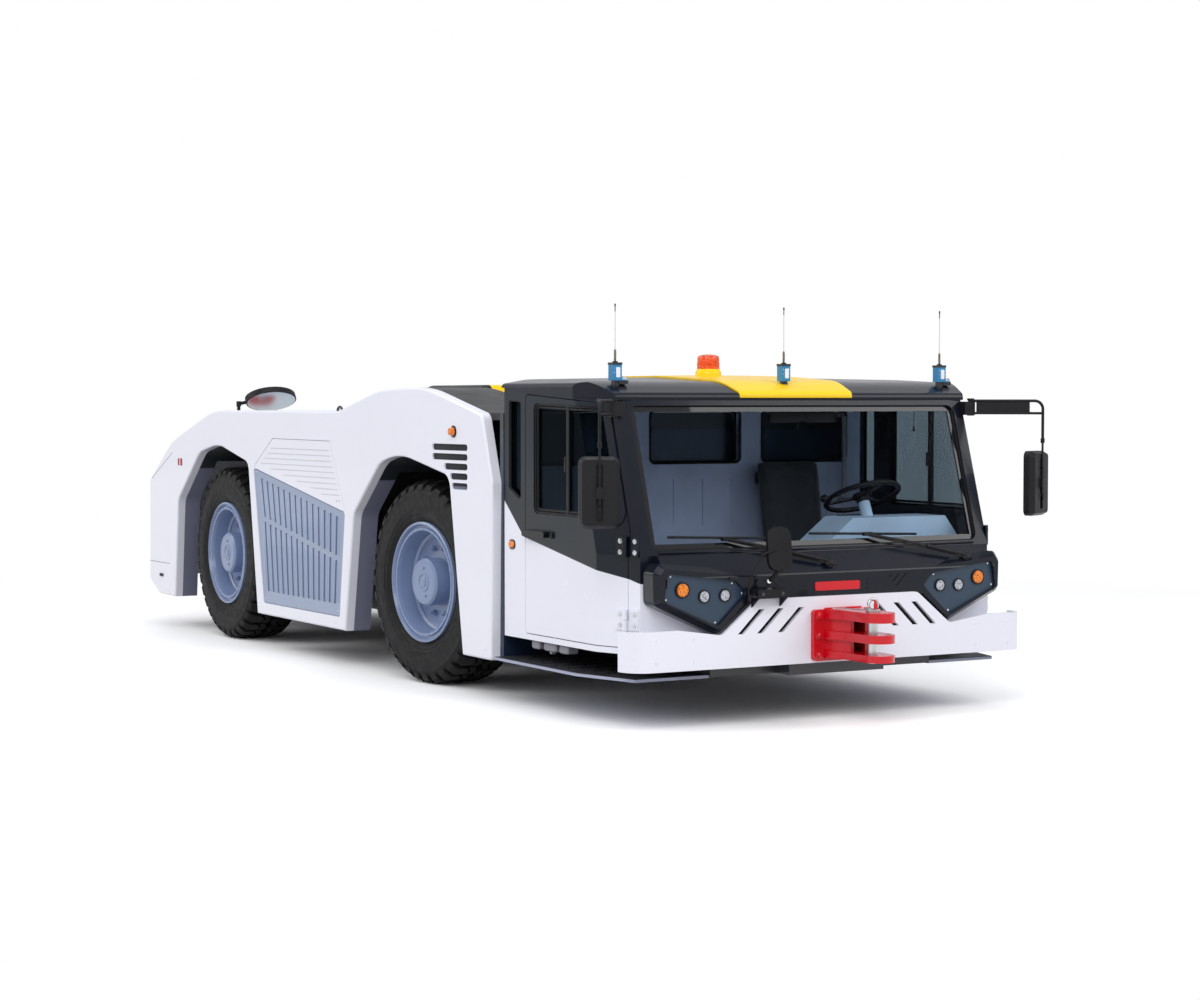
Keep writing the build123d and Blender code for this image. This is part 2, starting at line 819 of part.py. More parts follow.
def roof_crown(lift):
    """Solid under the roof's top face, raised by a lift."""
    front = roof_front[0] - roof_over
    with BuildPart(mode=Mode.PRIVATE) as crown:
        with BuildSketch(side(-roof_side)):
            with BuildLine():
                FilletPolyline(
                    (front, roof_front[1]),
                    (front, 1700 + lift),
                    (520, 1764 + lift),
                    (1230, 1800 + lift),
                    (roof_back[0], 1786 + lift),
                    roof_back,
                    radius=[0, 30, 500, 1500, 30, 0],
                    close=True,
                )
            make_face()
        extrude(amount=2 * roof_side)
        with BuildSketch(face(roof_back[0] + 100)):
            with BuildLine():
                FilletPolyline(
                    (-roof_side, roof_skirt),
                    (-roof_side, 1755 + lift),
                    (-1060, 1781 + lift),
                    (0, 1800 + lift),
                    (1060, 1781 + lift),
                    (roof_side, 1755 + lift),
                    (roof_side, roof_skirt),
                    radius=[0, 25, 300, 6000, 300, 25, 0],
                    close=True,
                )
            make_face()
        extrude(amount=1400, mode=Mode.INTERSECT)
    return crown.part


corner_run = cab_kink - cab_corner[1]
with BuildPart() as roof:
    add(roof_crown(0))
    with BuildSketch(level(roof_skirt)):
        front_line = roof_front[0] - roof_over
        lean_corner = cab_corner[0] + roof_over
        with BuildLine():
            Polyline(
                (-lean_corner, front_line),
                (lean_corner, front_line),
                (roof_side, front_line + corner_run),
                (roof_side, roof_back[0]),
                (-roof_side, roof_back[0]),
                (-roof_side, front_line + corner_run),
                close=True,
            )
        make_face()
    extrude(amount=300, mode=Mode.INTERSECT)
    with BuildSketch(side(-cab_half + cab_wall + 20)):
        with BuildLine():
            Polyline((450, roof_skirt), (450, 1690), (620, 1728), (1350, 1745), (1350, roof_skirt), close=True)
        make_face()
    extrude(amount=2 * (cab_half - cab_wall - 20), mode=Mode.SUBTRACT)
save(roof.part, "roof")

# Raised roof panel, widening rearward: station, half width
panel_rise = 9
roof_panel_ends = ((roof_front[0] - roof_over, 360), (roof_back[0], 475))
with BuildPart() as roof_panel:
    with BuildSketch(level(roof_skirt)):
        (near, near_half), (far, far_half) = roof_panel_ends
        with BuildLine():
            Polyline((-near_half, near), (near_half, near), (far_half, far), (-far_half, far), close=True)
        make_face()
    extrude(amount=300)
    add(roof_crown(panel_rise), mode=Mode.INTERSECT)
    add(roof_crown(seat_gap), mode=Mode.SUBTRACT)
save(roof_panel.part, "roof_panel")

# Nose outlines on the vehicle's left, mirrored for the right: x, height, corner radius
cowl_half = 1040
cowl_foot = 640
cowl_edge = 773
cowl_top = (64, 882)  # station and height where the cowl meets the wall
fascia_top = 653
bumper_edge = [
    (half_width, bumper_top, 0),
    (985, bumper_top + 4, 160),
    (722, 478, 45),
    (505, fascia_top, 60),
]
pod_outline = [
    (480, 790, 0),
    (1062, 851, 30),
    (1098, 800, 30),
    (1094, 640, 40),
    (722, 472, 55),
    (480, 672, 0),
]
lamp_panel_outline = [(622, 748, 20), (1027, 798, 20), (1052, 658, 20), (735, 523, 20), (560, 683, 20)]
pod_back = 110
pod_shoulder = 14  # station where the bezel starts to close in
pod_rim = -20
bezel_angle = 38
panel_face = -5
lamp_panel_wall = 6
lens_proud = 6
ledge_height = 440
slot_feet = (367, 494, 611)  # x of each fascia slot's foot
slot_foot = 478
slot_rise = 123
slot_lean = 128
fascia_slot_half = 18


def mirrored(corners):
    return [(-across, up, radius) for across, up, radius in corners]


def bumper_plan(inset, back):
    """Plan of the bumper's outside or inside, cut off at a station."""
    with BuildSketch(mode=Mode.PRIVATE) as plan:
        with BuildLine():
            FilletPolyline(
                (-half_width, 2 * back),
                (-half_width, bumper_front),
                (half_width, bumper_front),
                (half_width, 2 * back),
                radius=[0, bumper_corner, bumper_corner, 0],
                close=True,
            )
        make_face()
        if inset:
            offset(amount=-inset, kind=Kind.INTERSECTION)
        add(window(-half_width, half_width, bumper_front, back), mode=Mode.INTERSECT)
    return plan.sketch


# Bumper: a skirt round the nose that rises between the lamp pods, slotted there
with BuildPart() as bumper:
    with BuildSketch(level(bumper_bottom)):
        add(bumper_plan(0, bumper_return))
        add(bumper_plan(bumper_wall, bumper_return + 1), mode=Mode.SUBTRACT)
    extrude(amount=fascia_top - bumper_bottom)
    with BuildSketch(face(bumper_return)):
        foot = [(half_width, bumper_bottom, 0)]
        add(shape(foot + bumper_edge + mirrored(bumper_edge)[::-1] + mirrored(foot)))
    extrude(amount=bumper_return - bumper_front, mode=Mode.INTERSECT)
    with BuildSketch(level(ledge_height)):
        add(bumper_plan(bumper_wall, bumper_return))
        add(cab_plan(-seat_gap, cab_rear), mode=Mode.SUBTRACT)
        add(window(-nose_plate_half, nose_plate_half, bumper_front, bumper_return), mode=Mode.SUBTRACT)
    extrude(amount=-bumper_wall)
    with BuildSketch(face(bumper_front + bumper_wall)):
        for hand in (-1, 1):
            for foot in slot_feet:
                with BuildLine():
                    Polyline(
                        (hand * (foot - fascia_slot_half), slot_foot),
                        (hand * (foot + fascia_slot_half), slot_foot),
                        (hand * (foot + fascia_slot_half - slot_lean), slot_foot + slot_rise),
                        (hand * (foot - fascia_slot_half - slot_lean), slot_foot + slot_rise),
                        close=True,
                    )
                make_face()
    extrude(amount=bumper_wall, mode=Mode.SUBTRACT)
save(bumper.part, "bumper")

# Nose: a cowl under the windscreen with pressed chevrons and a bezelled lamp pod at each side
cowl_section = [
    (pod_back, cowl_foot, 0),
    (nose_front, cowl_foot, 0),
    (nose_front, cowl_edge, 14),
    (*cowl_top, 0),
    (pod_back + 50, cowl_top[1], 0),
    (pod_back + 50, cowl_foot, 0),
]
chevron_rows = (676, 702, 728)  # height of each rib's foot
chevron_inner = 190
chevron_bend = 340
chevron_step = 22
chevron_rib = 9
chevron_height = 4
with BuildPart() as nose:
    with BuildSketch(side(-cowl_half)):
        add(shape(cowl_section))
    extrude(amount=2 * cowl_half)
    for outline in (pod_outline, mirrored(pod_outline)):
        with BuildSketch(face(pod_back)):
            add(shape(outline))
        extrude(amount=pod_back - pod_shoulder)
        with BuildSketch(face(pod_shoulder)):
            add(shape(outline))
        extrude(amount=pod_shoulder - pod_rim, taper=bezel_angle)
    add(cab_body(-seat_gap, cab_bottom), mode=Mode.SUBTRACT)
    with BuildSketch(face(panel_face + lamp_panel_wall)):
        add(shape(lamp_panel_outline))
        add(shape(mirrored(lamp_panel_outline)))
    extrude(amount=lamp_panel_wall + 2 * (panel_face - pod_rim), mode=Mode.SUBTRACT)
    with BuildSketch(face(nose_front + chevron_height)):
        for row, height in enumerate(chevron_rows):
            bend = chevron_bend + (len(chevron_rows) - 1 - row) * chevron_step
            reach = cowl_edge - 22 - height
            with BuildLine():
                Polyline(
                    (chevron_inner, height),
                    (bend, height),
                    (bend + reach, height + reach),
                    (bend + reach - 1.4 * chevron_rib, height + reach),
                    (bend - chevron_rib / 2, height + chevron_rib),
                    (chevron_inner, height + chevron_rib),
                    close=True,
                )
            make_face()
        mirror(about=Plane.YZ)
    extrude(amount=2 * chevron_height)
save(nose.part, "nose")

# Lamp panels with their lamps: x, height, lens radius
amber_lamp = (938, 713, 37)
white_lamps = [(808, 676, 30), (684, 677, 30)]
with BuildPart() as lamp_panels:
    with BuildSketch(face(panel_face + lamp_panel_wall)):
        add(shape(lamp_panel_outline, -seat_gap))
        for across, up, radius in [amber_lamp] + white_lamps:
            with Locations((across, up)):
                Circle(radius + seat_gap, mode=Mode.SUBTRACT)
    extrude(amount=lamp_panel_wall)
    mirror(about=Plane.YZ)
save(lamp_panels.part, "lamp_panels")

with BuildPart() as head_lamps:
    with BuildSketch(face(panel_face + lamp_panel_wall)):
        for across, up, radius in white_lamps:
            with Locations((across, up), (-across, up)):
                Circle(radius)
    extrude(amount=lamp_panel_wall + lens_proud)
save(head_lamps.part, "head_lamps")

# Amber lamps: two in the pods, one on each fender, one on each cab side
fender_lamp = (1936, 1490, 26)  # station, height, radius
fender_lamp_proud = 28
cab_lamp = (1322, 884, 30, 21)  # station, height, half length, half height
cab_lamp_proud = 12
with BuildPart() as amber_lamps:
    across, up, radius = amber_lamp
    with BuildSketch(face(panel_face + lamp_panel_wall)):
        with Locations((across, up)):
            Circle(radius)
    extrude(amount=lamp_panel_wall + lens_proud)
    with BuildSketch(side(half_width)):
        with Locations(fender_lamp[:2]):
            Circle(fender_lamp[2])
    extrude(amount=fender_lamp_proud, taper=12)
    with BuildSketch(side(cab_half)):
        with Locations(cab_lamp[:2]):
            SlotOverall(2 * cab_lamp[2], 2 * cab_lamp[3])
    extrude(amount=cab_lamp_proud, taper=20)
    mirror(about=Plane.YZ)
save(amber_lamps.part, "amber_lamps")

# Front hitch: a bolted plate, three jaws on two side webs, bored for the pin
# Jaws: underside height, top height
jaws = [(337, 373), (434, 477), (539, 589)]
plate_front = bumper_front - 28


def jaw_plan(root_half, throat_station):
    """Jaw plate from the base plate to a round end about the pin."""
    with BuildSketch(mode=Mode.PRIVATE) as plan:
        with BuildLine():
            FilletPolyline(
                (-root_half, plate_front),
                (-jaw_round * 0.62, throat_station),
                (-jaw_round * 0.62, -jaw_tip),
                (jaw_round * 0.62, -jaw_tip),
                (jaw_round * 0.62, throat_station),
                (root_half, plate_front),
                radius=[0, 60, jaw_round * 0.61, jaw_round * 0.61, 60, 0],
                close=True,
            )
        make_face()
    return plan.sketch


with BuildPart() as front_hitch:
    with BuildSketch(face(bumper_front)):
        with Locations((0, (320 + 586) / 2)):
            RectangleRounded(358, 266, 20)
    extrude(amount=bumper_front - plate_front)
    for low, top in jaws:
        with BuildSketch(level(low)):
            add(jaw_plan(120, -200))
        extrude(amount=top - low)
    for hand in (-1, 1):
        with BuildSketch(level(jaws[0][0])):
            with BuildLine():
                Polyline(
                    (hand * 100, plate_front),
                    (hand * 55, plate_front - 150),
                    (hand * 35, plate_front - 150),
                    (hand * 70, plate_front),
                    close=True,
                )
            make_face()
        extrude(amount=jaws[-1][1] - jaws[0][0])
    with BuildSketch(level(jaws[0][0] - 10)):
        with Locations((0, pin_station)):
            Circle(pin_radius + pin_clearance)
    extrude(amount=400, mode=Mode.SUBTRACT)
save(front_hitch.part, "front_hitch")


def hitch_pin(station, foot, seat, eye):
    """Pin with a collar on the top jaw and a ring eye standing on it."""
    with BuildPart(mode=Mode.PRIVATE) as pin:
        with BuildSketch(level(foot)):
            with Locations((0, station)):
                Circle(pin_radius)
        extrude(amount=seat - foot)
        chamfer(pin.edges().filter_by(GeomType.CIRCLE).sort_by(Axis.Z)[0], length=4)
        with BuildSketch(level(seat)):
            with Locations((0, station)):
                Circle(pin_radius + 12)
        extrude(amount=14)
        with Locations((0, station - middle, seat + 14 + eye - 6)):
            Torus(eye, 8, rotation=(90, 0, 0))
    return pin.part


save(hitch_pin(pin_station, jaws[0][0] - 12, jaws[-1][1] + seat_gap, 28), "front_pin")

# Rear hitch: base plate across the frame, two jaws and their pin
rear_jaws = [(470, 510), (600, 640)]
rear_pin_station = rear_end + 130
with BuildPart() as rear_hitch:
    with BuildSketch(face(rear_end + 30)):
        with Locations((0, 530)):
            RectangleRounded(640, 330, 20)
    extrude(amount=30)
    for low, top in rear_jaws:
        with BuildSketch(level(low)):
            with BuildLine():
                FilletPolyline(
                    (-150, rear_end + 30),
                    (-110, rear_end + rear_tip),
                    (110, rear_end + rear_tip),
                    (150, rear_end + 30),
                    radius=[0, 80, 80, 0],
                    close=True,
                )
            make_face()
        extrude(amount=top - low)
    with BuildSketch(level(rear_jaws[0][0] - 10)):
        with Locations((0, rear_pin_station)):
            Circle(pin_radius + pin_clearance)
    extrude(amount=300, mode=Mode.SUBTRACT)
save(rear_hitch.part, "rear_hitch")
save(hitch_pin(rear_pin_station, rear_jaws[0][0] - 12, rear_jaws[-1][1] + seat_gap, 28), "rear_pin")

# Step plates beside the frame, narrowing forward to the bumper
step_wall = 17
with BuildPart() as steps:
    with BuildSketch(level(slab_bottom - 5)):
        with BuildLine():
            Polyline(
                (slab_half, bumper_return + 15),
                (1140, bumper_return + 15),
                (half_width, 527),
                (half_width, bulkhead_station - 5),
                (slab_half, bulkhead_station - 5),
                close=True,
            )
        make_face()
    extrude(amount=step_wall)
    mirror(about=Plane.YZ)
save(steps.part, "steps")

# Dash: a binnacle in front of the driver, with the column the steering wheel seats on
wheel_centre = Vector(seat_x, 500 - middle, 1138)
wheel_axis = Vector(0, 0.41, 0.912)
wheel_reach = 205
hub_drop = 34
column_length = 130
hub_plane = Plane(wheel_centre, x_dir=(1, 0, 0), z_dir=wheel_axis)
with BuildPart() as dash:
    with BuildSketch(face(520)):
        with BuildLine():
            Polyline((110, 700), (110, 885), (305, 1035), (925, 1035), (1040, 885), (1040, 700), close=True)
        make_face()
    extrude(amount=260)
    with BuildSketch(face(300)):
        add(window(-1040, 1040, 700, 880))
    extrude(amount=220)
    add(cab_inside, mode=Mode.INTERSECT)
    with BuildSketch(hub_plane.offset(-hub_drop - seat_gap)):
        Circle(32)
    extrude(amount=-column_length)
save(dash.part, "dash")

with BuildPart() as steering_wheel:
    with BuildSketch(hub_plane.offset(-hub_drop)):
        Circle(38)
    extrude(amount=hub_drop + 10)
    with BuildSketch(Plane(wheel_centre, x_dir=(1, 0, 0), z_dir=wheel_axis.cross(Vector(1, 0, 0)))):
        with Locations((wheel_reach, 0)):
            Circle(14)
    revolve(axis=Axis(wheel_centre, wheel_axis))
    with BuildSketch(hub_plane.offset(-7)):
        for turn in (0, 120, 240):
            with Locations(Location((0, 0, 0), (0, 0, turn + 30))):
                with Locations((110, 0)):
                    Rectangle(200, 30)
    extrude(amount=12)
save(steering_wheel.part, "steering_wheel")

# Side mirrors: bracket on the post, two tubes swung forward with a plate between, rod and head
mirror_x = 1386
mirror_station = 50
toe = 26  # the heads turn this far inward
arm_height = roof_front[1] - 39
arm_foot = (1146, 320)
arm_spread = 34
arm_tube = 8
lower_tube = 7
arm_bend = 45
arm_plate = (0.08, 0.82)  # shares of the arm's length where the plate starts and ends
rod_step = 1445  # the rod is thinner below this height
rod_foot = 1150
rod_thin = 6
rod_set = 40
head_size = (204, 356)
head_height = 1210
head_front = 27
head_rim = 7
head_back = 36
channel = (34, 283)
channel_depth = 20
clamp_wall = 4
clamp_height = 56
pane_recess = 6
post_face = cab_body(-seat_gap, cab_bottom)


def side_head(hand):
    """Plane through the middle of a side mirror's head, facing the driver."""
    turn = hand * radians(toe)
    place = (hand * mirror_x, mirror_station - middle, head_height)
    return Plane(place, x_dir=(cos(turn), sin(turn), 0), z_dir=(-sin(turn), cos(turn), 0))


# Mirrors at the nose and tail
nose_mirror = Plane((-443, -130 - middle, 909), x_dir=(0.95, -0.31, 0), z_dir=(0.31, 0.93, -0.2))
nose_mirror_size = (123, 225)
tail_pole = (-580, rear_end - 115)  # x and station
tail_mirror = Plane((-345, rear_end - 185 - middle, deck_height + 65), x_dir=(1, 0, 0), z_dir=(0, -0.57, -0.82))
# Folded bracket on the fascia: x limits, front station, heights
bracket_across = (-545, -372)
bracket_front = -112
bracket_wall = 8
bracket_side = [(bumper_front, 612, 0), (bumper_front, 705, 0), (bracket_front, 705, 0), (bracket_front, 662, 0)]
bracket_fold = [
    (bumper_front, 705, 0),
    (bracket_front, 705, 0),
    (bracket_front, 662, 0),
    (bracket_front + bracket_wall, 662, 0),
    (bracket_front + bracket_wall, 705 - bracket_wall, 0),
    (bumper_front, 705 - bracket_wall, 0),
]
ball_place = (-470, -88, 745)
ball = 14
with BuildPart() as mirrors:
    for hand in (-1, 1):
        glass_side = side_head(hand)
        back_side = Plane(glass_side.origin, x_dir=glass_side.x_dir, z_dir=-glass_side.z_dir)
        foot = Vector(hand * arm_foot[0], arm_foot[1] - middle, arm_height)
        rod = back_side.from_local_coords(Vector(0, 0, rod_set))
        run = Vector(rod.X, rod.Y, arm_height) - foot
        arm_plane = Plane(foot, x_dir=run, z_dir=run.cross(Vector(0, 0, 1)))
        with BuildSketch(Plane((foot.X - hand * 20, foot.Y + 20, arm_height - 44))):
            Rectangle(70, 80)
        extrude(amount=74)
        add(post_face, mode=Mode.SUBTRACT)
        with BuildSketch(Plane((foot.X, foot.Y, arm_height - 48))):
            RectangleRounded(26, 26, 8)
        extrude(amount=96)
        with BuildLine(arm_plane) as upper_tube:
            FilletPolyline(
                (0, arm_spread),
                (run.length, arm_spread),
                (run.length, rod_step - arm_height),
                radius=arm_bend,
            )
        with BuildSketch(upper_tube.line ^ 0):
            Circle(arm_tube)
        sweep(path=upper_tube.line)
        with BuildSketch(Plane(foot - Vector(0, 0, arm_spread), x_dir=(0, 0, 1), z_dir=run)):
            Circle(lower_tube)
        extrude(amount=run.length)
        with BuildSketch(arm_plane):
            near, far = arm_plate
            with Locations(((near + far) / 2 * run.length, 0)):
                Rectangle((far - near) * run.length, 2 * arm_spread)
        extrude(amount=3, both=True)
        with BuildSketch(Plane((rod.X, rod.Y, rod_foot))):
            Circle(rod_thin)
        extrude(amount=rod_step - rod_foot)
        with BuildSketch(back_side.offset(-head_front)):
            RectangleRounded(*head_size, 35)
        extrude(amount=head_front + head_rim)
        with BuildSketch(back_side.offset(head_rim)):
            RectangleRounded(*head_size, 35)
        extrude(amount=head_back - head_rim, taper=28)
        with BuildSketch(glass_side.offset(head_front)):
            RectangleRounded(head_size[0] - 24, head_size[1] - 24, 26)
        extrude(amount=-pane_recess, mode=Mode.SUBTRACT)
        with BuildSketch(glass_side.offset(-head_back)):
            RectangleRounded(*channel, 12)
        extrude(amount=channel_depth, mode=Mode.SUBTRACT)
        with BuildSketch(glass_side.offset(-rod_set - rod_thin - clamp_wall)):
            Rectangle(channel[0] + 1, clamp_height)
        extrude(amount=rod_set + rod_thin + clamp_wall - head_back + channel_depth + 1)
    with BuildSketch(side(bracket_across[0])):
        add(shape(bracket_fold))
    extrude(amount=bracket_across[1] - bracket_across[0])
    for across in bracket_across:
        with BuildSketch(side(across)):
            add(shape(bracket_side))
        extrude(amount=bracket_wall / 2, both=True)
    with Locations((ball_place[0], ball_place[1] - middle, ball_place[2])):
        Sphere(ball, rotation=(0, 90, 0))
    with BuildSketch(level(700)):
        with Locations(ball_place[:2]):
            Circle(ball / 2)
    extrude(amount=ball_place[2] - 700)
    neck_run = nose_mirror.from_local_coords(Vector(0, nose_mirror_size[1] / 2 - 6, -26))
    neck_foot = Vector(ball_place[0], ball_place[1] - middle, ball_place[2])
    with BuildSketch(Plane(neck_foot, z_dir=neck_run - neck_foot)):
        Circle(11)
    extrude(amount=(neck_run - neck_foot).length)
    with BuildSketch(nose_mirror):
        RectangleRounded(*nose_mirror_size, 50)
    extrude(amount=-40)
    stay_foot = Vector(bracket_across[0] + 4, -105 - middle, 668)
    with BuildLine(Plane(stay_foot, x_dir=(1, 0, 0), z_dir=(0, -0.973, -0.229))) as stay:
        FilletPolyline((0, 0), (-72, 10), (-64, 110), (-10, 232), (72, 250), radius=30)
    with BuildSketch(stay.line ^ 0):
        Circle(5)
    sweep(path=stay.line)
    tail_corner = Vector(tail_pole[0], tail_pole[1] - middle, deck_height + 43)
    tail_arm = Vector(-345, tail_pole[1] - 35 - middle, deck_height + 93) - tail_corner
    with BuildSketch(Plane((tail_corner.X, tail_corner.Y, deck_split + 55))):
        Circle(13)
    extrude(amount=deck_height + 43 - deck_split - 55)
    with Locations(tail_corner):
        Cylinder(18, 40)
    with BuildSketch(Plane(tail_corner, z_dir=tail_arm)):
        Circle(13)
    extrude(amount=tail_arm.length)
    with BuildSketch(tail_mirror):
        Ellipse(200, 133)
    extrude(amount=-40)
    add(deck.part, mode=Mode.SUBTRACT)
save(mirrors.part, "mirrors")

with BuildPart() as mirror_panes:
    for hand in (-1, 1):
        with BuildSketch(side_head(hand).offset(head_front - pane_recess)):
            RectangleRounded(head_size[0] - 26, head_size[1] - 26, 25)
        extrude(amount=pane_recess - 2)
    with BuildSketch(nose_mirror):
        RectangleRounded(nose_mirror_size[0] - 12, nose_mirror_size[1] - 12, 44)
    extrude(amount=5)
    with BuildSketch(tail_mirror):
        Ellipse(190, 123)
    extrude(amount=5)
save(mirror_panes.part, "mirror_panes")

# Beacon and aerials on the roof: outlines stacked from the foot, cut to the roof below
beacon_station = 1230
beacon_top = 1926
beacon_rows = [(1780, 1826, 73.5), (1826, 1838, 68), (1838, beacon_top, 64)]  # foot, top, radius
with BuildPart() as beacon:
    for foot, top, radius in beacon_rows:
        with BuildSketch(level(foot)):
            with Locations((0, beacon_station)):
                Circle(radius)
        extrude(amount=top - foot)
    chamfer(beacon.edges().group_by(Axis.Z)[-1], length=6)
    add(roof_crown(panel_rise + seat_gap), mode=Mode.SUBTRACT)
save(beacon.part, "beacon")

aerial_station = 476
aerial_half = 1047
aerial_box = (52, 50)
aerial_foot = 1768
aerial_lid = 1849
aerial_top = 2163
lamp_proud = 40
with BuildPart() as aerials:
    for across in (-aerial_half, 0, aerial_half):
        for low, top, size in (
            (aerial_foot - 50, aerial_foot, (30, 30)),
            (aerial_foot, aerial_lid, aerial_box),
            (aerial_lid, aerial_lid + 12, (56, 54)),
        ):
            with BuildSketch(level(low)):
                with Locations((across, aerial_station)):
                    Rectangle(*size)
            extrude(amount=top - low)
        for low, top, radius in (
            (aerial_lid + 12, aerial_lid + 19, 14),
            (aerial_lid + 19, aerial_lid + 80, 4.5),
            (aerial_lid + 80, aerial_top - 14, 2.5),
            (aerial_top - 14, aerial_top, 4),
        ):
            with BuildSketch(level(low)):
                with Locations((across, aerial_station)):
                    Circle(radius)
            extrude(amount=top - low)
        if across:
            with BuildSketch(face(aerial_station + 14)):
                with Locations((across + lamp_proud, aerial_foot - 7)):
                    SlotOverall(58, 24)
            extrude(amount=32)
    add(roof_crown(seat_gap), mode=Mode.SUBTRACT)
    add(roof_panel.part, mode=Mode.SUBTRACT)
save(aerials.part, "aerials")
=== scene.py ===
import bpy, bmesh, json
from math import cos, sin, pi, radians, hypot
from mathutils import Matrix, Vector

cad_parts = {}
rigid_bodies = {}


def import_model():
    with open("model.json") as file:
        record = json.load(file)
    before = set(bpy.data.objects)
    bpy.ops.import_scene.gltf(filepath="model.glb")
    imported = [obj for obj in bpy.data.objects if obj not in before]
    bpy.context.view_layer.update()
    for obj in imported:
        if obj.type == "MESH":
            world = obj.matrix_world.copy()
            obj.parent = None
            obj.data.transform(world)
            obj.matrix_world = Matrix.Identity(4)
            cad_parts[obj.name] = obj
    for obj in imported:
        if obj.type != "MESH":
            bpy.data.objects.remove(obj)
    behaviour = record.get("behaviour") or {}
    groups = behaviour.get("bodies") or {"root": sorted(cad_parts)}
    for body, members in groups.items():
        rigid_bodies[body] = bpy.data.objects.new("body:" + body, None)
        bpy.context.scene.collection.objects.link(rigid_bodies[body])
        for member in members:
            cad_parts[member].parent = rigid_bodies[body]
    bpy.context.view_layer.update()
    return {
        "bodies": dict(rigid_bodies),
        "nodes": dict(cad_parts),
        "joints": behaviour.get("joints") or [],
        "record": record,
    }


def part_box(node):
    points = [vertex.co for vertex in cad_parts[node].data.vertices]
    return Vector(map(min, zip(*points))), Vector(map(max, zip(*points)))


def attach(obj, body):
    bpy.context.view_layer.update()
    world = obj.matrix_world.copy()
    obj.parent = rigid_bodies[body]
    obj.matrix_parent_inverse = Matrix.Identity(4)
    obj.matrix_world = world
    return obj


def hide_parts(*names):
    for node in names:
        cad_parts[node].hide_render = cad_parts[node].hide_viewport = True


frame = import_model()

nodes = frame["nodes"]
joints = {joint["name"]: joint for joint in frame["joints"]}

# stations are metres rearward from the bumper's corners, which stand this far behind the jaws
jawReach = 0.470
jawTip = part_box("front_hitch")[0].y


def worldY(station):
    return jawTip + jawReach + station


# materials: one node tree each, all patterns in object coordinates

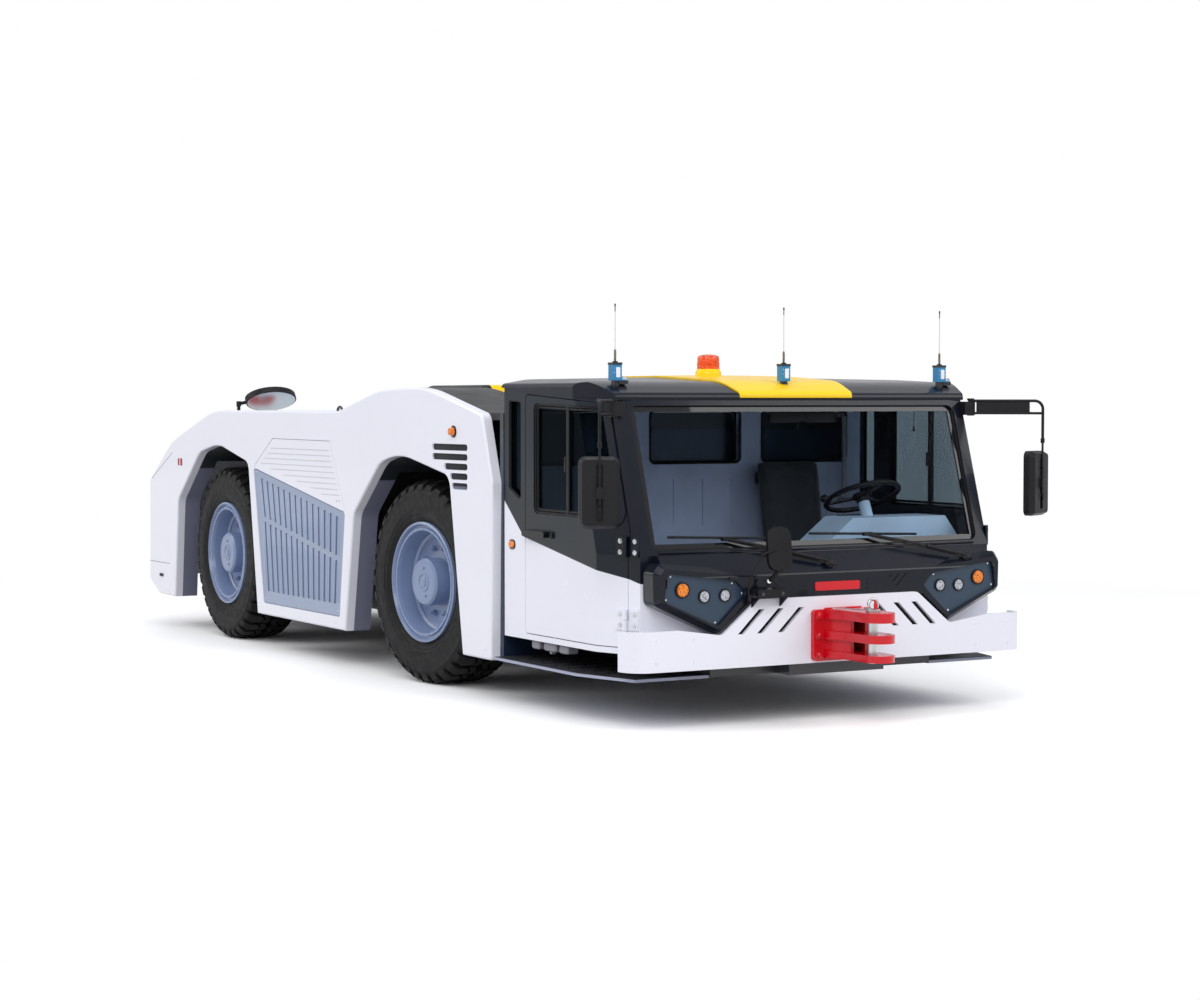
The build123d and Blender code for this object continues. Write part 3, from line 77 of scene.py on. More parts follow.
class Finish:
    def __init__(self, name):
        self.mat = bpy.data.materials.new(name)
        self.mat.use_nodes = True
        self.tree = self.mat.node_tree
        self.bsdf = self.tree.nodes["Principled BSDF"]
        self.coords = self.node("ShaderNodeTexCoord").outputs["Object"]

    def node(self, kind, **values):
        made = self.tree.nodes.new(kind)
        for key, value in values.items():
            setattr(made, key, value)
        return made

    def wire(self, value, socket):
        if hasattr(value, "links"):
            self.tree.links.new(value, socket)
        else:
            socket.default_value = value

    def math(self, operation, *values, clamp=False):
        made = self.node("ShaderNodeMath", operation=operation, use_clamp=clamp)
        for value, socket in zip(values, made.inputs):
            self.wire(value, socket)
        return made.outputs[0]

    def product(self, first, *others):
        for other in others:
            first = self.math("MULTIPLY", first, other)
        return first

    def axes(self):
        made = self.node("ShaderNodeSeparateXYZ")
        self.wire(self.coords, made.inputs[0])
        return made.outputs[:3]

    def ramp(self, value, low, high, outLow=0.0, outHigh=1.0):
        made = self.node("ShaderNodeMapRange")
        self.wire(value, made.inputs["Value"])
        for key, number in (("From Min", low), ("From Max", high), ("To Min", outLow), ("To Max", outHigh)):
            made.inputs[key].default_value = number
        return made.outputs[0]

    # masks with a narrow soft edge
    def above(self, value, limit, soft=0.0012):
        return self.ramp(value, limit - soft, limit + soft)

    def below(self, value, limit):
        return self.math("SUBTRACT", 1.0, self.above(value, limit))

    def beyond(self, value, half, soft=0.0012):
        return self.above(self.math("ABSOLUTE", value), half, soft)

    def within(self, value, half, middle=0.0):
        value = self.math("SUBTRACT", value, middle) if middle else value
        return self.math("SUBTRACT", 1.0, self.beyond(value, half))

    def noise(self, scale, detail=3.0, stretch=None):
        made = self.node("ShaderNodeTexNoise")
        made.inputs["Scale"].default_value = scale
        made.inputs["Detail"].default_value = detail
        made.inputs["Roughness"].default_value = 0.55
        where = self.coords
        if stretch:
            scaled = self.node("ShaderNodeVectorMath", operation="MULTIPLY")
            self.wire(where, scaled.inputs[0])
            scaled.inputs[1].default_value = stretch
            where = scaled.outputs[0]
        self.wire(where, made.inputs["Vector"])
        return made.outputs["Fac"]

    def uneven(self, scale, detail, low, high):
        # a value that drifts between two ends
        return self.ramp(self.noise(scale, detail), 0.3, 0.7, low, high)

    def cells(self, scale):
        made = self.node("ShaderNodeTexVoronoi")
        made.inputs["Scale"].default_value = scale
        self.wire(self.coords, made.inputs["Vector"])
        return made.outputs["Distance"]

    def blend(self, share, first, second):
        made = self.node("ShaderNodeMix", data_type="RGBA")
        self.wire(share, made.inputs["Factor"])
        sockets = [socket for socket in made.inputs if socket.type == "RGBA"]
        for value, socket in zip((first, second), sockets):
            self.wire(value if hasattr(value, "links") else (*value, 1.0), socket)
        return next(socket for socket in made.outputs if socket.type == "RGBA")

    def layer(self, share, first, second):
        # mixes two surfaces and sends them to the output
        made = self.node("ShaderNodeMixShader")
        for value, socket in zip((share, first, second), made.inputs):
            self.wire(value, socket)
        self.wire(made.outputs[0], self.tree.nodes["Material Output"].inputs["Surface"])
        return self.mat

    def bump(self, height, distance):
        made = self.node("ShaderNodeBump")
        self.wire(height, made.inputs["Height"])
        made.inputs["Distance"].default_value = distance
        made.inputs["Strength"].default_value = 1.0
        previous = self.bsdf.inputs["Normal"]
        if previous.links:
            self.wire(previous.links[0].from_socket, made.inputs["Normal"])
        self.wire(made.outputs[0], previous)

    def done(self, **sockets):
        names = {"color": "Base Color", "rough": "Roughness", "metal": "Metallic", "coat": "Coat Weight",
                 "coatRough": "Coat Roughness", "alpha": "Alpha", "sheen": "Sheen Weight",
                 "specular": "Specular IOR Level", "glow": "Emission Strength", "glowColor": "Emission Color"}
        for key, value in sockets.items():
            if isinstance(value, tuple):
                value = (*value, 1.0)
            self.wire(value, self.bsdf.inputs[names[key]])
        return self.mat


colors = {
    "white": (0.80, 0.805, 0.885),
    "navy": (0.0045, 0.006, 0.013),
    "upperCab": (0.0035, 0.0085, 0.015),
    "cabLining": (0.11, 0.13, 0.17),
    "slate": (0.185, 0.245, 0.405),
    "grille": (0.25, 0.31, 0.455),
    # painted highlight: the grille's rolled flanges in a lighter copy of its paint
    "flange": (0.33, 0.40, 0.56),
    "liner": (0.17, 0.175, 0.25),
    # painted shade for the crown inside the wheel arches
    "archCrownShade": (0.008, 0.012, 0.017),
    "bulkhead": (0.010, 0.019, 0.048),
    "chassis": (0.012, 0.013, 0.018),
    "stepEdge": (0.36, 0.38, 0.50),
    "black": (0.006, 0.006, 0.008),
    "panel": (0.012, 0.034, 0.066),
    "yellow": (0.93, 0.60, 0.006),
    "red": (0.60, 0.0015, 0.010),
    "roadDirt": (0.036, 0.034, 0.032),
}

# where one colour meets the next: stations along y, heights along z, distances from the middle along x
colorLines = {
    "cab": ((0.10, 0.735), (0.19, 0.762), (1.194, 0.932), (1.42, 1.124)),
    "cabSide": 1.15,
    "cabWallInner": 1.148,
    "cabFloorFront": 0.46,
    "gripFace": 1.206,
    "grip": ((1.031, 0.135), (0.955, 0.022)),
    "deckFront": 3.62,
    "crownFront": 2.55,
    "crownInner": 0.802,
    "deckTop": 1.500,
    "hoodHalf": 0.44,
    # height where the arches' painted shade begins
    "archTop": 1.180,
    "stepEdge": 0.002,
    "rearWindowHalf": 1.10,
    "beaconFoot": 0.034,
}


def dusted(shade, color, dust, scale=1.7):
    # broad thin patches of road dust
    patches = shade.ramp(shade.noise(scale, 4), 0.48, 0.78)
    dusty = tuple(channel * 0.85 + 0.035 for channel in color)
    return shade.blend(shade.math("MULTIPLY", patches, dust), color, dusty)


def sprayed(shade, tone, gloss, coat, specular=0.5):
    # orange peel and a slightly uneven gloss
    shade.bump(shade.noise(240, 1), 0.00010)
    rough = shade.uneven(7, 4, gloss, gloss + 0.08)
    return shade.done(color=tone, rough=rough, coat=coat, coatRough=0.06, specular=specular)


def paint(name, color, gloss=0.28, dust=0.10, coat=0.35, specular=0.5):
    shade = Finish(name + "Paint")
    return sprayed(shade, dusted(shade, colors[color], dust), gloss, coat, specular)


def cabPaint():
    # dark upper body, white below a line that drops towards the nose, black behind the door grips
    shade = Finish("cabPaint")
    x, y, z = shade.axes()
    corners, lines = colorLines["cab"], []
    for (s0, z0), (s1, z1) in zip(corners, corners[1:]):
        slope = (z1 - z0) / (s1 - s0)
        lines.append(shade.math("ADD", shade.math("MULTIPLY", y, slope), z0 - slope * worldY(s0)))
    edge = shade.math("MAXIMUM", shade.math("MINIMUM", lines[0], lines[1]), lines[2])
    upper = shade.above(shade.math("SUBTRACT", z, edge), 0.0)
    dark = shade.blend(shade.beyond(x, colorLines["cabSide"], 0.05), colors["navy"], colors["upperCab"])
    deep = shade.product(shade.within(x, colorLines["cabWallInner"]),
                         shade.above(y, worldY(colorLines["cabFloorFront"])))
    tone = shade.blend(upper, dusted(shade, colors["white"], 0.08), dark)
    tone = shade.blend(deep, tone, colors["cabLining"])
    (station, halfLong), (height, halfHigh) = colorLines["grip"]
    grip = shade.product(shade.beyond(x, colorLines["gripFace"]), shade.within(z, halfHigh, height),
                         shade.within(y, halfLong, worldY(station)))
    tone = shade.blend(grip, tone, colors["black"])
    return sprayed(shade, tone, 0.2, 0.10, 0.22)


def deckPaint():
    # white over the tail, black round the hood, navy down the front of the fenders
    shade = Finish("deckPaint")
    x, y, z = shade.axes()
    front = shade.below(y, worldY(colorLines["deckFront"]))
    crown = shade.product(shade.above(y, worldY(colorLines["crownFront"])),
                          shade.beyond(x, colorLines["crownInner"]))
    dark = shade.math("SUBTRACT", front, crown, clamp=True)
    low = shade.blend(shade.above(z, colorLines["deckTop"]), colors["bulkhead"], colors["black"])
    tone = shade.blend(dark, dusted(shade, colors["white"], 0.12), low)
    return sprayed(shade, tone, 0.34, 0.05, 0.25)


def bulkheadPaint():
    shade = Finish("bulkheadPaint")
    z = shade.axes()[2]
    top = shade.above(z, colorLines["deckTop"])
    tone = shade.blend(top, dusted(shade, colors["bulkhead"], 0.15), colors["black"])
    return sprayed(shade, tone, 0.3, 0.25)


def hoodPaint():
    # dark shoulders, yellow front and top
    shade = Finish("hoodPaint")
    middle = shade.within(shade.axes()[0], colorLines["hoodHalf"])
    tone = shade.blend(middle, colors["black"], dusted(shade, colors["yellow"], 0.1))
    return sprayed(shade, tone, 0.3, 0.06, 0.2)


def archPaintAndShade():
    # pale lower walls; above a line the crown of the arch is painted near black as painted shade
    shade = Finish("archPaintAndShade")
    top = shade.above(shade.axes()[2], colorLines["archTop"], 0.004)
    tone = shade.blend(top, dusted(shade, colors["liner"], 0.5, 4), colors["archCrownShade"])
    shade.bump(shade.noise(70, 3), 0.0004)
    return sprayed(shade, tone, 0.45, 0.0, 0.3)


def stepPaint():
    # dark tread top, pale edge
    shade = Finish("stepPaint")
    top = shade.above(shade.axes()[2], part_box("steps")[1].z - colorLines["stepEdge"], 0.0006)
    tone = shade.blend(top, colors["stepEdge"], dusted(shade, colors["chassis"], 0.6, 5))
    shade.bump(shade.noise(60, 3), 0.0004)
    return shade.done(color=tone, rough=shade.uneven(9, 4, 0.45, 0.7))


def rubber(name, color=(0.0055, 0.0055, 0.0062), rough=0.62, grey=0.16):
    shade = Finish(name)
    dirt = shade.ramp(shade.noise(9, 5), 0.42, 0.8)
    shade.bump(shade.noise(330, 2), 0.0003)
    tone = shade.blend(shade.math("MULTIPLY", dirt, grey), color, colors["roadDirt"])
    return shade.done(color=tone, rough=shade.uneven(26, 3, rough - 0.1, rough + 0.1), specular=0.22)


def plastic(name, color, rough=0.42, grain=0.00030):
    shade = Finish(name)
    shade.bump(shade.cells(420), grain)
    warm = tuple(channel * 1.35 + 0.003 for channel in color)
    tone = shade.blend(shade.uneven(5, 3, 0, 0.5), color, warm)
    return shade.done(color=tone, rough=shade.uneven(18, 3, rough - 0.05, rough + 0.07), specular=0.22)


def steel(name, color=(0.60, 0.61, 0.62), rough=0.24):
    shade = Finish(name)
    brushed = shade.noise(110, 3, stretch=(1, 1, 12))
    shade.bump(brushed, 0.00005)
    worn = tuple(channel * 0.75 for channel in color)
    tone = shade.blend(shade.ramp(shade.noise(9, 3), 0.35, 0.7), color, worn)
    return shade.done(color=tone, metal=1.0, rough=shade.ramp(brushed, 0.3, 0.7, rough - 0.06, rough + 0.1))


def lens(name, color, pattern=150, depth=0.0010, glow=0.0):
    shade = Finish(name)
    prisms = shade.cells(pattern)
    shade.bump(prisms, depth)
    # each prism cell is painted lighter at its middle and darker at its rim: painted glints and painted shade
    # on the facets
    facetGlint = tuple(min(1.0, channel * 1.5 + 0.02) for channel in color)
    deep = tuple(channel * 0.42 for channel in color)
    tone = shade.blend(shade.ramp(prisms, 0.15, 0.75), facetGlint, deep)
    return shade.done(color=tone, rough=0.16, coat=0.35, coatRough=0.03, specular=0.35, glow=glow,
                      glowColor=color)


def glass(name, tint, border=None, rearTint=None):
    # each face dims what is behind it; a thin reflecting skin grows at a glancing angle
    shade = Finish(name)
    shade.mat.surface_render_method = "BLENDED"
    x, _, z = shade.axes()
    glance = shade.node("ShaderNodeFresnel")
    glance.inputs["IOR"].default_value = 1.38
    smear = shade.ramp(shade.noise(3, 4), 0.35, 0.8, 0.0, 0.03)
    cover = shade.math("ADD", shade.math("MULTIPLY", glance.outputs[0], 0.85), smear, clamp=True)
    if border:
        clearField = shade.product(shade.within(x, border["half"]), shade.above(z, border["foot"]),
                                   shade.below(z, border["head"]))
        cover = shade.math("ADD", cover, shade.math("SUBTRACT", 1.0, clearField), clamp=True)
    rough = shade.ramp(smear, 0.0, 0.03, 0.02, 0.06)
    shade.done(color=colors["black"], rough=rough, alpha=cover, specular=0.5)
    through = shade.node("ShaderNodeBsdfTransparent")
    through.inputs["Color"].default_value = (*tint, 1.0)
    if rearTint:
        # the rear windows are paler than those at the sides
        rear = shade.within(x, colorLines["rearWindowHalf"])
        shade.wire(shade.blend(rear, tint, rearTint), through.inputs["Color"])
    return shade.layer(cover, through.outputs[0], shade.bsdf.outputs[0])


def mirrorPaintedReflection():
    shade = Finish("mirrorGlass")
    # mirror metal tinted pale blue-green between two tones, a painted reflection of the surroundings over its
    # real shine
    tone = shade.blend(shade.noise(4, 2), (0.55, 0.62, 0.66), (0.48, 0.56, 0.60))
    return shade.done(color=tone, metal=1.0, rough=0.12)


def cloth(name, color):
    shade = Finish(name)
    weave = shade.product(shade.noise(700, 1, (1, 0.25, 1)), shade.noise(700, 1, (0.25, 1, 1)))
    shade.bump(weave, 0.0008)
    lighter = tuple(channel * 1.8 + 0.004 for channel in color)
    tone = shade.blend(shade.ramp(shade.noise(6, 3), 0.35, 0.7), color, lighter)
    return shade.done(color=tone, rough=0.72, sheen=0.25)


def beaconPaint():
    # yellow foot under an orange lens
    shade = Finish("beaconPaint")
    lensMask = shade.above(shade.axes()[2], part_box("beacon")[0].z + colorLines["beaconFoot"])
    tone = shade.blend(lensMask, colors["yellow"], (0.86, 0.13, 0.006))
    shade.bump(shade.noise(160, 2), 0.0002)
    return shade.done(color=tone, rough=0.14, coat=1.0, coatRough=0.03, glow=0.12, glowColor=(0.8, 0.12, 0.0))


# heights above the beacon's foot where each colour of an aerial begins
aerialBands = {
    "blue box": (-0.036, (0.012, 0.19, 0.40)),
    "black lid": (0.045, (0.006, 0.006, 0.008)),
    "brass spring": (0.071, (0.35, 0.22, 0.08)),
    "pale whip": (0.125, (0.62, 0.60, 0.70)),
    "black tip": (0.318, (0.012, 0.012, 0.014)),
}


def aerialPaint():
    shade = Finish("aerialPaint")
    z = shade.axes()[2]
    tone = (0.008, 0.008, 0.012)
    for height, color in aerialBands.values():
        tone = shade.blend(shade.above(z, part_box("beacon")[0].z + height), tone, color)
    return shade.done(color=tone, rough=shade.uneven(30, 2, 0.28, 0.42))


whitePaint = paint("white", "white", dust=0.12)
navyPaint = paint("navy", "navy", gloss=0.17, coat=0.14, specular=0.22)
linerPaintAndShade = archPaintAndShade()
slatePaint = paint("slate", "slate", gloss=0.30, dust=0.2)
grillePaint = paint("grille", "grille", gloss=0.34, dust=0.1)
chassisPaint = paint("chassis", "chassis", gloss=0.45, dust=0.3)
panelPaint = paint("panel", "panel", gloss=0.38, coat=0.1)
yellowPaint = paint("yellow", "yellow", gloss=0.24, dust=0.03, coat=0.08, specular=0.2)
flangeHighlightPaint = paint("flange", "flange", gloss=0.3, dust=0.05)
redPaint = paint("red", "red", gloss=0.2, dust=0.03, coat=0.3, specular=0.35)
tyreRubber = rubber("tyreRubber")
floorRubber = rubber("floorRubber", (0.02, 0.02, 0.023))
sealRubber = rubber("sealRubber", (0.005, 0.005, 0.006), 0.5, 0.1)
blackPlastic = plastic("blackPlastic", (0.0065, 0.0065, 0.0085))
dashPlastic = plastic("dashPlastic", (0.44, 0.57, 0.70))
liningPlastic = plastic("liningPlastic", (0.44, 0.50, 0.66), rough=0.5)
greyPlastic = plastic("greyPlastic", (0.30, 0.30, 0.34), rough=0.45)
seatCloth = cloth("seatCloth", (0.012, 0.013, 0.016))
zincSteel = steel("zincSteel")
chromeSteel = steel("chromeSteel", (0.78, 0.79, 0.82), 0.12)
darkSteel = steel("darkSteel", (0.10, 0.10, 0.12), 0.35)
clearLens = lens("clearLens", (0.56, 0.57, 0.64), 170, 0.0010)
amberLens = lens("amberLens", (0.86, 0.19, 0.001), 150, 0.0009, 0.16)
redLens = lens("redLens", (0.45, 0.006, 0.01), 170)
beaconLens = lens("beaconLens", (0.84, 0.075, 0.001), 120, 0.0004, 0.16)
screenGlass = glass("screenGlass", (0.92, 0.945, 0.97), {"half": 1.004, "foot": 0.936, "head": 1.606})
paneGlass = glass("paneGlass", (0.42, 0.53, 0.60), rearTint=(0.84, 0.88, 0.92))
mirrorGlass = mirrorPaintedReflection()

looks = {
    whitePaint: "body_side_left body_side_right rear_panel vent_panels bumper",
    deckPaint(): "deck",
    grillePaint: "side_grilles",
    slatePaint: "rim_front_left rim_front_right rim_rear_left rim_rear_right",
    linerPaintAndShade: "arch_liners",
    bulkheadPaint(): "bulkhead",
    stepPaint(): "steps",
    chassisPaint: "chassis_frame front_axle rear_axle knuckle_left knuckle_right power_block",
    cabPaint(): "cab_frame door_left door_right",
    navyPaint: "roof nose",
    hoodPaint(): "hood_box",
    yellowPaint: "roof_panel",
    panelPaint: "lamp_panels",
    liningPlastic: "cab_rear_wall",
    floorRubber: "cab_floor",
    dashPlastic: "dash",
    blackPlastic: "steering_wheel mirrors",
    seatCloth: "driver_seat",
    screenGlass: "windscreen",
    paneGlass: "door_pane_left door_pane_right fixed_panes",
    clearLens: "head_lamps",
    amberLens: "amber_lamps",
    beaconPaint(): "beacon",
    redLens: "tail_lamps",
    redPaint: "front_hitch rear_hitch",
    zincSteel: "front_pin rear_pin",
    mirrorGlass: "mirror_panes",
    aerialPaint(): "aerials",
    tyreRubber: "tyre_front_left tyre_front_right tyre_rear_left tyre_rear_right",
}
for material, names in looks.items():
    for name in names.split():
        mesh = nodes[name].data
        mesh.materials.clear()
        mesh.materials.append(material)
print("stage: materials on the frame")

# the slot that a finish belongs to, where its piece names none
slots = {
    "black_plastic": (blackPlastic, sealRubber),
    "zinc_steel": (zincSteel, chromeSteel, darkSteel),
    "grey_blue_paint": (slatePaint, flangeHighlightPaint, greyPlastic),
    "tyre_rubber": (tyreRubber,),
    "liner_paint": (linerPaintAndShade,),
    "white_paint": (whitePaint,),
    "red_paint": (redPaint,),
    "frame_paint": (navyPaint,),
    "dark_paint": (chassisPaint,),
    "yellow_paint": (yellowPaint,),
    "lens_red": (redLens,),
    "lens_clear": (clearLens,),
    "lens_amber": (amberLens, beaconLens),
}
slotOf = {finish: slot for slot, finishes in slots.items() for finish in finishes}


# mesh building

def circle(radius, count):
    angles = [2 * pi * step / count for step in range(count)]
    return [(radius * cos(angle), radius * sin(angle)) for angle in angles]


class Clay:
    # collects closed forms in one mesh; frame places what is added
    def __init__(self, frame=None):
        self.bm = bmesh.new()
        self.at(frame)

    def at(self, frame=None):
        self.frame = frame or Matrix.Identity(4)
        return self

    def add(self, points, faces):
        verts = [self.bm.verts.new(self.frame @ Vector(point)) for point in points]
        for face in faces:
            self.bm.faces.new([verts[index] for index in face])

    def rings(self, rings, closed=False):
        # skin over loops of equally many points, with end caps unless the rings close on themselves
        count = len(rings[0])
        points = [point for ring in rings for point in ring]
        faces = []
        for row in range(len(rings) if closed else len(rings) - 1):
            low, high = row * count, (row + 1) % len(rings) * count
            for index in range(count):
                after = (index + 1) % count
                faces.append((low + index, low + after, high + after, high + index))
        if not closed:
            faces.append(tuple(reversed(range(count))))
            faces.append(tuple(range(len(points) - count, len(points))))
        self.add(points, faces)

    def lathe(self, profile, segments=32, closed=False):
        # profile is (radius, height) about the frame's z
        loops = [[(x, y, height) for x, y in circle(radius, segments)] for radius, height in profile]
        self.rings(loops, closed)

    def slab(self, outline, low, high, edge=0.0):
        # outline in the frame's xy, its top edge eased by a small chamfer
        levels = [(outline, low), (outline, high - edge)]
        if edge:
            levels.append((inset(outline, edge), high))
        self.rings([[(x, y, z) for x, y in loop] for loop, z in levels])

    def block(self, low, high, edge=0.002):
        # box between two corners with eased edges all round
        (x0, y0, z0), (x1, y1, z1) = low, high
        outline = [(x0, y0), (x1, y0), (x1, y1), (x0, y1)]
        small = inset(outline, edge)
        levels = ((small, z0), (outline, z0 + edge), (outline, z1 - edge), (small, z1))
        self.rings([[(x, y, z) for x, y in loop] for loop, z in levels])

    def tube(self, path, radius, segments=10, closed=False):
        path = [Vector(point) for point in path]
        rings, side = [], None
        for index, point in enumerate(path):
            before = path[index - 1] if index or closed else point
            after = path[(index + 1) % len(path)] if index < len(path) - 1 or closed else point
            along = (after - before).normalized()
            if side is None:
                side = along.orthogonal().normalized()
            side = (side - along * side.dot(along)).normalized()
            up = along.cross(side)
            rings.append([point + side * x + up * y for x, y in circle(radius, segments)])
        self.rings(rings, closed)

    def bezel(self, outer, inner, low, high, lip=0.0):
        # flat frame between two outlines
        levels = ((outer, low), (outer, high), (inner, high + lip), (inner, low))
        self.rings([[(x, y, z) for x, y in loop] for loop, z in levels], closed=True)

    def bolt(self, place, radius, height, out=(0, 0, 1)):
        # hex head on a washer
        kept = self.frame
        self.frame = kept @ facing(place, out)
        self.lathe([(radius * 1.25, 0), (radius * 1.25, height * 0.2), (radius * 1.1, height * 0.25)], 16)
        self.lathe([(radius, height * 0.2), (radius, height * 0.85), (radius * 0.8, height)], 6)
        self.frame = kept

    def dome(self, place, radius, height, out=(0, 0, 1), segments=12):
        kept = self.frame
        self.frame = kept @ facing(place, out)
        steps = ((1, -0.001), (1, height * 0.3), (0.8, height * 0.75), (0.35, height))
        self.lathe([(radius * share, up) for share, up in steps], segments)
        self.frame = kept

    def mirror(self):
        # the same forms again at the other hand
        source = list(self.bm.faces)
        twins = {}
        for face in source:
            for vert in face.verts:
                if vert not in twins:
                    twins[vert] = self.bm.verts.new((-vert.co.x, vert.co.y, vert.co.z))
        for face in source:
            self.bm.faces.new([twins[vert] for vert in reversed(face.verts)])
        return self

    def toHand(self, hand):
        # forms made for the left are moved to the right where hand is -1
        for vert in self.bm.verts:
            vert.co.x *= hand
        return self

    def piece(self, name, material, body="chassis", slot=None, smooth=32):
        bmesh.ops.recalc_face_normals(self.bm, faces=self.bm.faces)
        mesh = bpy.data.meshes.new(name)
        self.bm.to_mesh(mesh)
        self.bm.free()
        mesh.materials.append(material)
        mesh.shade_smooth()
        mesh.set_sharp_from_angle(angle=radians(smooth))
        made = placed(name, mesh)
        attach(made, body)
        slot = slotOf[material] if slot is None else slot
        return made


def placed(name, data):
    made = bpy.data.objects.new(name, data)
    bpy.context.scene.collection.objects.link(made)
    return made


def facing(place, out, up=(0, 0, 1)):
    # frame at a place whose z points out
    z = Vector(out).normalized()
    x = Vector(up).cross(z)
    x = x.normalized() if x.length > 0.01 else Vector((1, 0, 0))
    turn = Matrix((x, z.cross(x), z)).transposed().to_4x4()
    return Matrix.Translation(place) @ turn


def inset(outline, amount):
    # closed outline moved inward by mitred corners
    points = [Vector(point) for point in outline]
    after = points[1:] + points[:1]
    before = points[-1:] + points[:-1]
    area = sum(here.x * there.y - there.x * here.y for here, there in zip(points, after))
    sign = 1 if area > 0 else -1
    moved = []
    for last, here, there in zip(before, points, after):
        first, second = (here - last).normalized(), (there - here).normalized()
        normal = Vector((-first.y - second.y, first.x + second.x)) * sign
        length = normal.length_squared
        moved.append(tuple(here + normal * (2 * amount / length if length > 0.2 else 0)))
    return moved


def rounded(corners, steps=5):
    # outline with arcs at its corners: (x, y, radius)
    points = []
    for index, (x, y, radius) in enumerate(corners):
        here = Vector((x, y))
        before = (Vector(corners[index - 1][:2]) - here).normalized()
        after = (Vector(corners[(index + 1) % len(corners)][:2]) - here).normalized()
        half = before.angle(after) / 2
        reach = radius / max(0.05, abs(sin(half) / cos(half)))
        first, last = here + before * reach, here + after * reach
        middle = here + (before + after).normalized() * (radius / sin(half))
        for step in range(steps + 1):
            spot = first.lerp(last, step / steps)
            points.append(tuple(middle + (spot - middle).normalized() * radius))
    return points


def roundedBar(width, height, radius, steps=5):
    signs = ((-1, -1), (1, -1), (1, 1), (-1, 1))
    return rounded([(x * width / 2, y * height / 2, radius) for x, y in signs], steps)


def spread(outline, step=0.06):
    # the same closed outline with extra points on its long runs
    points = []
    for here, after in zip(outline, outline[1:] + outline[:1]):
        count = max(1, int(hypot(after[0] - here[0], after[1] - here[1]) / step))
        points += [(here[0] + (after[0] - here[0]) * k / count, here[1] + (after[1] - here[1]) * k / count)
                   for k in range(count)]
    return points


def onSide(x, station=0.0, height=0.0):
    # frame on the vehicle's left: x rearward, y up, z outward
    return Matrix(((0, 0, 1, x), (1, 0, 0, worldY(station)), (0, 1, 0, height), (0, 0, 0, 1)))


def onFront(station, x=0.0, height=0.0):
    # frame facing forward: x to the vehicle's left, y up, z forward
    return Matrix(((1, 0, 0, x), (0, 0, -1, worldY(station)), (0, 1, 0, height), (0, 0, 0, 1)))


def onBack(station, x=0.0, height=0.0):
    return Matrix(((-1, 0, 0, x), (0, 0, 1, worldY(station)), (0, 1, 0, height), (0, 0, 0, 1)))


def shifted(x, y, z):
    return Matrix.Translation((x, y, z))


# wheels

def wheelFrame(name):
    # z outward along the axle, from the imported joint
    low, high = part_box("tyre_" + name)
    middle = (low + high) / 2
    axle = Vector(joints[f"wheel_{name}_spin"]["axis"])
    return facing(middle, -axle if axle.x * middle.x < 0 else axle)


tyreCut = {
    "lugs": 36,
    "stagger": 0.25,
    "pitchRadius": 0.59,
    "top": 0.5995,
    "foot": 0.562,
    "ease": 0.004,
    "crown": 0.003,
    "shoulderStart": 0.146,
    "shoulderWidth": 0.0315,
    "shoulderDrop": 0.027,
    # lug corners past this distance from the middle reach down the sidewall: (distance, radius)
    "sideStart": 0.17,
    "sideFoot": (0.183, 0.540),
    "wall": [(0.3125, 0.150), (0.330, 0.1515), (0.350, 0.156), (0.3555, 0.163), (0.366, 0.168),
             (0.372, 0.1665), (0.376, 0.171), (0.392, 0.1795), (0.397, 0.1775), (0.402, 0.1825),
             (0.420, 0.1875), (0.424, 0.1855), (0.428, 0.1886), (0.452, 0.1897), (0.490, 0.1885),
             (0.516, 0.1850), (0.523, 0.1870), (0.530, 0.1835), (0.541, 0.180), (0.550, 0.174),
             (0.562, 0.160)],
    # lug outlines: share of the pitch, distance from the middle of the tread
    "shoulder": [(-0.40, 0.076), (-0.12, 0.054), (0.10, 0.066), (0.36, 0.088), (0.34, 0.146), (0.30, 0.1775),
                 (0.0, 0.1775), (-0.30, 0.1775), (-0.36, 0.146)],
    "centre": [(-0.44, 0.022), (-0.10, 0.006), (0.12, 0.016), (0.44, 0.030), (0.44, 0.076), (0.10, 0.052),
               (-0.10, 0.040), (-0.44, 0.062)],
}


def crownRadius(across):
    # gently arched over the middle, dropping over the shoulder
    arch = min(1.0, abs(across) / tyreCut["shoulderStart"]) ** 2
    drop = max(0.0, abs(across) - tyreCut["shoulderStart"]) / tyreCut["shoulderWidth"]
    return tyreCut["top"] - tyreCut["crown"] * arch - tyreCut["shoulderDrop"] * drop


def onTread(spot, radius, turn):
    angle = spot[0] / tyreCut["pitchRadius"] + turn
    return (radius * cos(angle), radius * sin(angle), spot[1])


def buildTyre(name):
    clay = Clay(wheelFrame(name))
    wall = tyreCut["wall"]
    clay.lathe(wall + [(radius, -height) for radius, height in reversed(wall)], 96, closed=True)
    pitch = 2 * pi / tyreCut["lugs"]
    sideHeight, sideRadius = tyreCut["sideFoot"]
    for hand in (-1, 1):
        for number in range(tyreCut["lugs"]):
            turn = (number + tyreCut["stagger"] * hand) * pitch
            for outline in (tyreCut["shoulder"], tyreCut["centre"]):
                flat = [(share * pitch * tyreCut["pitchRadius"] * hand, across * hand)
                        for share, across in outline]
                foot = [onTread((x, hand * sideHeight), sideRadius, turn)
                        if abs(across) > tyreCut["sideStart"]
                        else onTread((x, across), tyreCut["foot"], turn) for x, across in flat]
                rim = [onTread(spot, crownRadius(spot[1]) - tyreCut["ease"], turn) for spot in flat]
                top = [onTread(spot, crownRadius(spot[1]), turn) for spot in inset(flat, tyreCut["ease"])]
                clay.rings([foot, rim, top])
    made = clay.piece("tread_" + name, tyreRubber, "wheel_" + name, smooth=28)
    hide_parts("tyre_" + name)


